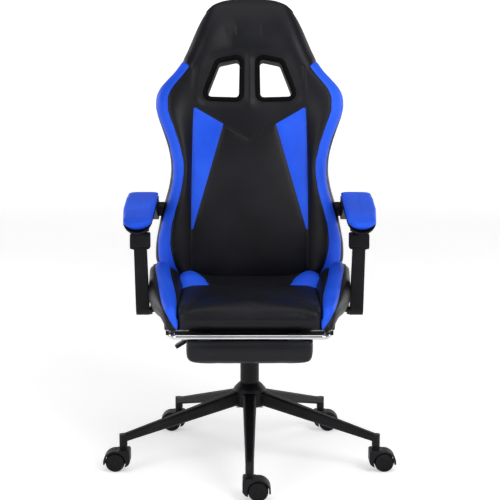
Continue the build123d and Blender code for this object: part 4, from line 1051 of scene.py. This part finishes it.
# ---------------------------------------------------------------- seat bolsters
# sections by Y: inner bottom, inner top, stripe inner, crest, stripe outer, widest, outer bottom, underside
BOLSTER = {
    -266: [(178, 405), (178, 413), (182, 419), (188, 421), (193, 419), (198, 412), (198, 406), (188, 403)],
    -259: [(178, 404), (178, 430), (183, 441), (191, 445), (199, 441), (205, 427), (204, 406), (190, 402)],
    -246: [(178, 406), (178, 446), (184, 455), (196, 460), (207, 454), (213, 435), (207, 408), (192, 404)],
    -225: [(178, 413), (178, 454), (185, 462), (201, 467), (214, 461), (222, 441), (212, 413), (194, 409)],
    -200: [(178, 419), (178, 458), (187, 466), (205, 472), (220, 466), (231, 445), (219, 420), (196, 416)],
    -150: [(178, 424), (178, 460), (190, 474), (211, 483), (228, 475), (246, 450), (236, 423), (200, 420)],
    -100: [(178, 424), (178, 462), (194, 481), (217, 492), (235, 484), (256, 458), (246, 424), (203, 421)],
    -40: [(178, 424), (178, 464), (201, 489), (223, 502), (243, 495), (264.5, 470), (256, 428), (206, 421)],
    20: [(178, 424), (178, 466), (208, 497), (230, 512), (250, 508.5), (267.5, 487), (259, 434), (208, 422)],
    70: [(178, 427), (179, 468), (212, 502), (233, 516.5), (254, 514), (269.5, 498), (260, 446), (210, 427)],
    100: [(179, 431), (181, 469), (214, 504), (234, 518), (254.5, 515.5), (268.5, 500), (258, 452), (211, 434)],
    120: [(181, 437), (184, 470), (215, 503), (234, 516), (252.5, 513.5), (262, 500), (253, 459), (212, 442)],
    136: [(188, 449), (192, 471), (216, 496), (232, 506), (244, 503), (251, 488), (246, 467), (214, 454)],
}
keys = sorted(BOLSTER)
ctrl = np.array([BOLSTER[k] for k in keys], float)
by = np.concatenate([np.arange(-266, -236, 2.2), np.arange(-236, 128, 3.6), np.arange(128, 136.1, 2.0)])
cx = np.stack([curve([(k, ctrl[i, j, 0]) for i, k in enumerate(keys)], by) for j in range(8)], axis=1)
cz = np.stack([curve([(k, ctrl[i, j, 1]) for i, k in enumerate(keys)], by) for j in range(8)], axis=1)
loops = [closed_spline(np.stack([cx[i], cz[i]], axis=1), 100) for i in range(len(by))]
LX = np.array([l[:, 0] for l in loops])
LZ = np.array([l[:, 1] for l in loops])
LY = np.repeat(by[:, None], 100, axis=1)


def round_end(LX, LY, LZ, first, reach):
    i = 0 if first else -1
    x, y, z = LX[i], LY[i], LZ[i]
    mx, mz = x.mean(), z.mean()
    ex = []
    for deg in (30, 55, 74, 86):
        t = math.radians(deg)
        ex.append((mx + (x - mx) * math.cos(t), y + (-1 if first else 1) * reach * math.sin(t), mz + (z - mz) * math.cos(t)))
    if first:
        ex = ex[::-1]
        return [np.concatenate([np.array([e[k] for e in ex]), M]) for k, M in enumerate((LX, LY, LZ))]
    return [np.concatenate([M, np.array([e[k] for e in ex])]) for k, M in enumerate((LX, LY, LZ))]


LX, LY, LZ = round_end(LX, LY, LZ, True, 3.0)
LX, LY, LZ = round_end(LX, LY, LZ, False, 12.0)
SI_TABLE = [(-266, 176), (-225, 179), (-150, 184), (-100, 190), (-40, 198), (20, 206), (80, 212), (150, 216)]
b_out = LX - (183 + (LZ - 410) / 1.46 + 3.0 * np.sin(np.clip((LZ - 410) / 100, 0, 1) * math.pi))
b_in = curve(SI_TABLE, LY) - LX
bolster_blue = np.maximum(b_out, b_in)
d_b = np.minimum(np.where(b_in < 6, np.abs(b_out) * 0.82, 99), np.where((b_out < 6) & (LZ > 430), np.abs(b_in), 99))
seat_runs_black, seat_runs_blue = [], []
G = np.stack([LX, LY, LZ], axis=-1) * MM
pin = np.exp(-(d_b / 5.0) ** 2)
pin = np.maximum(pin, np.where((LZ < 440) | (LX < 183), 0.9, 0.0))
pin[:8] = 1.0
pin[-7:] = 1.0
G = G + inflate(G, pin, 3.0, 4.0)
n = grid_normals(G)
groove = -2.2 * np.exp(-(d_b / 2.8) ** 2) - 1.2 * np.exp(-(d_b / 8.0) ** 2)
G = G + n * (groove * MM)[..., None]
# the armrest posts swing past outside this
reach = np.hypot(G[..., 1] * 1000 + 30, G[..., 2] * 1000 - 415)
limit = np.where(reach < 150, 260.8 + (reach + 25) * 0.047, 260.8) * MM
# and the recline lever's grip lifts past its lower rear flank
limit = np.minimum(limit, (253.6 + 40.0 * np.maximum(smooth((G[..., 2] * 1000 - 478) / 22), smooth((66 - G[..., 1] * 1000) / 30))) * MM)
for side, tag in ((1, "left"), (-1, "right")):
    Gs = G.copy()
    Gs[..., 0] = np.minimum(Gs[..., 0], limit) * side
    bm = grid_bmesh(Gs, {"blue": bolster_blue})
    cut_at_zero(bm, "blue")
    paint_by(bm, "blue", 1)
    tree = BVHTree.FromBMesh(bm)
    ob = link_mesh("seat_bolster_" + tag, bm, [PU_BLACK, PU_BLUE])
    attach(ob, "seat")
    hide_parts("seat_bolsters")
    yy = np.arange(-190, 120, 5.0)
    si = np.stack([curve(SI_TABLE, yy), yy], axis=1)
    kb, kl = [], []
    kb.append(([(side * (x - 3.2) * MM, y * MM, 0.56) for x, y in si], DOWN))
    kl.append(([(side * (x + 3.2) * MM, y * MM, 0.56) for x, y in si], DOWN))
    # outer border found on the mesh itself
    so = []
    for i in range(len(by)):
        r = i + 4
        s = b_out[r]
        for k in range(99):
            if s[k] <= 0 < s[k + 1] and b_in[r, k] < 0 and LZ[r, k] > 415:
                t = s[k] / (s[k] - s[k + 1])
                so.append((LX[r, k] + t * (LX[r, k + 1] - LX[r, k]), LY[r, k], LZ[r, k] + t * (LZ[r, k + 1] - LZ[r, k])))
    so = np.array(so)
    aim = Vector((-side * 0.75, 0.0, -0.66))
    for off, bucket in ((3.2, kb), (-3.2, kl)):
        pts = [(side * (x + off * 0.62) * MM - aim.x * 0.06, y * MM, (z - off * 0.75) * MM - aim.z * 0.06) for x, y, z in so if y > -236]
        bucket.append((pts, aim))
    st = stitches("bolster_stitching_black_" + tag, kb, tree, THREAD_BLACK, "seat")
    st = stitches("bolster_stitching_blue_" + tag, kl, tree, THREAD_BLUE, "seat")


# ---------------------------------------------------------------- pads made of rings round a spine
def ring_pad(outline, spine_a, spine_b, layers):
    """outline: closed plan points; layers: (share of the way in to the spine, height function(x, y)). Rows of one closed grid."""
    o = np.array(outline, float)
    a, b = np.array(spine_a, float), np.array(spine_b, float)
    d = b - a
    t = np.clip(((o - a) @ d) / (d @ d), 0, 1)
    foot = a + t[:, None] * d
    rows = []
    for share, height in layers:
        q = foot + (o - foot) * (1 - share)
        rows.append(np.column_stack([q, height(q[:, 0], q[:, 1], o)]))
    return np.array(rows)


def plan_rect(x0, x1, y0, y1, r_front, r_rear, n=200):
    """Rounded rectangle in plan, front at y0."""
    pts = []
    for cxp, cyp, r, a0 in ((x1 - r_rear, y1 - r_rear, r_rear, 0), (x0 + r_rear, y1 - r_rear, r_rear, 90),
                            (x0 + r_front, y0 + r_front, r_front, 180), (x1 - r_front, y0 + r_front, r_front, 270)):
        for k in range(0, 19):
            t = math.radians(a0 + k * 5)
            pts.append((cxp + r * math.cos(t), cyp + r * math.sin(t)))
    p = np.array(pts + pts[:1])
    s = np.concatenate([[0], np.cumsum(np.linalg.norm(np.diff(p, axis=0), axis=1))])
    u = np.linspace(0, s[-1], n, endpoint=False)
    return np.stack([np.interp(u, s, p[:, k]) for k in range(2)], axis=1)


ARM_F, ARM_B = (-186.0, 663.5), (112.0, 710.5)
ARM_SLOPE = (ARM_B[1] - ARM_F[1]) / (ARM_B[0] - ARM_F[0])


def arm_top(y):
    return ARM_F[1] + (y - ARM_F[0]) * ARM_SLOPE


def plan_polygon(corners, radii, n=220):
    """Corner-rounded plan outline with a radius for each corner, evenly spaced points."""
    pts = []
    m = len(corners)
    for i in range(m):
        p0, p1, p2 = (np.array(corners[(i + k - 1) % m], float) for k in range(3))
        a, b = (p0 - p1) / np.linalg.norm(p0 - p1), (p2 - p1) / np.linalg.norm(p2 - p1)
        ang = math.acos(np.clip(np.dot(a, b), -1, 1))
        r = radii[i]
        s0 = p1 + a * r / math.tan(ang / 2)
        e0 = p1 + b * r / math.tan(ang / 2)
        mid = p1 + (a + b) / np.linalg.norm(a + b) * (r / math.sin(ang / 2))
        t0, t1 = math.atan2(*(s0 - mid)[::-1]), math.atan2(*(e0 - mid)[::-1])
        dt = (t1 - t0 + math.pi) % (2 * math.pi) - math.pi
        pts += [mid + r * np.array([math.cos(t0 + dt * k / 16), math.sin(t0 + dt * k / 16)]) for k in range(17)]
    q = np.array(pts + pts[:1])
    s = np.concatenate([[0], np.cumsum(np.linalg.norm(np.diff(q, axis=0), axis=1))])
    u = np.linspace(0, s[-1], n, endpoint=False)
    return np.stack([np.interp(u, s, q[:, k]) for k in range(2)], axis=1)


arm_line = plan_polygon([(316, -186), (327, -50), (327.5, 50), (324, 112), (245, 112), (246, -186)], [33, 260, 400, 26, 14, 33])


def arm_height(d):
    """Height at depth d below the pad's top line; both ends of the top ease down a little."""
    def h(x, y, o):
        ease = smooth((-150 - y) / 36) * 2.5 + smooth((y - 92) / 20) * 2.0
        return arm_top(y) - d - ease * (1 - np.clip(d, 0, 27) / 27)
    return h


arm_layers = [(0.93, arm_height(28.2)), (0.80, arm_height(27.6)), (0.66, arm_height(26.6)), (0.52, arm_height(25.0)), (0.37, arm_height(22.4)),
              (0.235, arm_height(18.8)), (0.125, arm_height(15.0)), (0.052, arm_height(11.6)), (0.012, arm_height(8.6)), (0.0, arm_height(6.4)),
              (0.0, arm_height(4.8)), (0.010, arm_height(3.2)), (0.034, arm_height(1.8)), (0.075, arm_height(0.7)), (0.14, arm_height(0.0)),
              (0.24, arm_height(-0.5)), (0.38, arm_height(-0.9)), (0.56, arm_height(-1.2)), (0.76, arm_height(-1.4)), (0.92, arm_height(-1.5)),
              (0.98, arm_height(-1.5))]
A = ring_pad(arm_line, (281.8, -150.0), (284.5, 74.0), arm_layers) * MM
rowsA = A.shape[0]
fine_rows = np.linspace(0, rowsA - 1, 60)


def resample_rows(M, at):
    """Smooth resampling down the rows of a grid."""
    idx = np.arange(M.shape[0])
    out = np.zeros((len(at), M.shape[1], 3))
    i = np.clip(np.floor(at).astype(int), 0, M.shape[0] - 2)
    f = (at - i)[:, None, None]
    p0, p1, p2, p3 = M[np.maximum(i - 1, 0)], M[i], M[i + 1], M[np.minimum(i + 2, M.shape[0] - 1)]
    return 0.5 * ((2 * p1) + (-p0 + p2) * f + (2 * p0 - 5 * p1 + 4 * p2 - p3) * f ** 2 + (-p0 + 3 * p1 - 3 * p2 + p3) * f ** 3)


A = resample_rows(A, fine_rows)
pin = np.zeros(A.shape[:2])
pin[fine_rows < 8] = 1.0
pin[-3:] = 0.6
A = A + inflate(A, pin, 2.5, 1.6, stiff=18.0)
# a seam runs round the pad under its rolled edge
nA = grid_normals(A)
row_at = np.broadcast_to(fine_rows[:, None], A.shape[:2])
d_rim = np.abs(row_at - 9.2) * 2.4
A = A + nA * ((-1.3 * np.exp(-(d_rim / 1.9) ** 2)) * MM)[..., None]
for side, tag in ((1, "left"), (-1, "right")):
    As = A.copy()
    As[..., 0] *= side
    bm = grid_bmesh(As)
    tree = BVHTree.FromBMesh(bm)
    ob = link_mesh("arm_pad_cover_" + tag, bm, [PU_BLUE])
    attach(ob, "arm_" + tag)
    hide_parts("arm_pad_" + tag)
    k = int(np.argmin(np.abs(fine_rows - 9.2)))
    tb = tube_loop("arm_pad_welt_" + tag, As[k], 0.9, PU_BLUE, "arm_" + tag)

# ---------------------------------------------------------------- footrest pad
foot_line = plan_rect(-155.0, 155.0, -294.0, -118.0, 15.0, 15.0, n=260)


def foot_height(z, bow):
    def h(x, y, o):
        u = np.clip(np.abs(x) / 155.0, 0, 1)
        q = np.clip(np.abs(y + 206) / 88.0, 0, 1)
        return np.full_like(x, z) - bow * (1 - u ** 2.5) * (1 - 0.5 * q ** 2)
    return h


foot_layers = [(0.85, foot_height(384.0, 0)), (0.4, foot_height(384.0, 0)), (0.1, foot_height(384.0, 0)), (0.03, foot_height(383.4, 0)),
               (0.008, foot_height(380.5, 0)), (0.0, foot_height(375.0, 0)), (0.0, foot_height(367.0, 0)), (0.003, foot_height(358.5, 0)),
               (0.008, foot_height(350.0, 0.2)), (0.016, foot_height(342.5, 0.6)), (0.030, foot_height(336.6, 1.0)), (0.055, foot_height(332.2, 1.4)),
               (0.095, foot_height(329.2, 1.9)), (0.17, foot_height(327.4, 2.3)), (0.3, foot_height(326.6, 2.6)), (0.5, foot_height(326.2, 2.8)),
               (0.75, foot_height(326.0, 2.8)), (0.96, foot_height(326.0, 2.8))]
F = ring_pad(foot_line, (-80.0, -206.0), (80.0, -206.0), foot_layers) * MM
fr = np.linspace(0, F.shape[0] - 1, 56)
F = resample_rows(F, fr)
pin = np.zeros(F.shape[:2])
pin[fr < 5] = 1.0
F = F + inflate(F, pin, 2.5, 3.0)
nF = grid_normals(F)
rw_ = np.broadcast_to(fr[:, None], F.shape[:2])
d_f = np.abs(rw_ - 5.4) * 7.0
F = F + nF * ((-1.3 * np.exp(-(d_f / 3.0) ** 2)) * MM)[..., None]
bm = grid_bmesh(F)
foot_cover = link_mesh("footrest_pad_cover", bm, [PU_BLACK])
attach(foot_cover, "footrest_flap")
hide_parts("footrest_pad")
k = int(np.argmin(np.abs(fr - 4.2)))
tb = tube_loop("footrest_pad_welt", F[k], 1.3, PU_BLACK, "footrest_flap")


# ---------------------------------------------------------------- floor, backdrop and light
def stage_material():
    m, nt, b, co = new_material("studio_paper")
    nt.links.new(ramp(nt, noise(nt, co, 0.8, 2.0), [(0.3, (0.90, 0.90, 0.90)), (0.7, (0.93, 0.93, 0.93))]), b.inputs["Base Color"])
    nt.links.new(spread(nt, noise(nt, co, 3.0), 0.75, 0.9), b.inputs["Roughness"])
    b.inputs["Specular IOR Level"].default_value = 0.1
    # the paper glows a little more away from the lamps, so it stays evenly pale
    far = nt.nodes.new("ShaderNodeVectorMath")
    far.operation = "LENGTH"
    nt.links.new(co, far.inputs[0])
    b.inputs["Emission Color"].default_value = (1.0, 1.0, 1.0, 1.0)
    nt.links.new(spread(nt, far.outputs["Value"], 0.40, 0.52, 1.0, 4.5), b.inputs["Emission Strength"])
    return m


# a paper sweep round the back and both sides, far enough out to walk round the chair
PAPER_R, PAPER_CURVE, PAPER_TOP = 8.0, 1.4, 2.6
profile_rz = [(r, -0.0008) for r in np.linspace(0, PAPER_R - PAPER_CURVE, 12)]
for k in range(1, 11):
    t = k / 10 * math.pi / 2
    profile_rz.append((PAPER_R - PAPER_CURVE + PAPER_CURVE * math.sin(t), -0.0008 + PAPER_CURVE * (1 - math.cos(t))))
profile_rz.append((PAPER_R, PAPER_TOP))
spokes = [((0.0, y), (-1.0, 0.0)) for y in np.linspace(-10, -1, 8)]
spokes += [((0.0, 0.0), (math.cos(t), math.sin(t))) for t in np.linspace(math.pi, 0, 37)]
spokes += [((0.0, y), (1.0, 0.0)) for y in np.linspace(-1, -10, 8)]
bm = bmesh.new()
prev = None
for (cx0, cy0), (dx0, dy0) in spokes:
    line = [bm.verts.new((cx0 + dx0 * r, cy0 + dy0 * r, z)) for r, z in profile_rz]
    if prev:
        for k in range(len(line) - 1):
            bm.faces.new((prev[k], prev[k + 1], line[k + 1], line[k]))
    prev = line
bmesh.ops.remove_doubles(bm, verts=bm.verts[:], dist=1e-5)
bmesh.ops.dissolve_degenerate(bm, edges=bm.edges[:], dist=1e-5)
bmesh.ops.recalc_face_normals(bm, faces=bm.faces[:])
floor = link_mesh("studio_floor", bm, [stage_material()])

world = bpy.data.worlds.new("studio")
scene.world = world
world.use_nodes = True
bg = world.node_tree.nodes["Background"]
bg.inputs["Color"].default_value = (1.0, 1.0, 1.0, 1.0)
bg.inputs["Strength"].default_value = 0.22


def area(name, at, target, size, watts, size_y=None):
    d = bpy.data.lights.new(name, "AREA")
    d.shape = "RECTANGLE"
    d.size = size
    d.size_y = size_y or size
    d.energy = watts
    o = bpy.data.objects.new(name, d)
    o.location = at
    o.rotation_euler = (Vector(target) - Vector(at)).to_track_quat("-Z", "Y").to_euler()
    scene.collection.objects.link(o)
    return o


area("key_right", (1.9, -2.7, 2.7), (0, 0, 0.9), 1.9, 70)
area("fill_left", (-2.3, -2.8, 2.0), (0, 0, 0.8), 1.8, 40)
area("top_soft", (0.0, -0.4, 3.3), (0, 0, 0.5), 2.4, 24)
area("rear_left", (-3.0, 2.3, 1.7), (0, 0.2, 0.8), 1.6, 18)
area("rear_right", (3.0, 2.3, 1.7), (0, 0.2, 0.8), 1.6, 18)
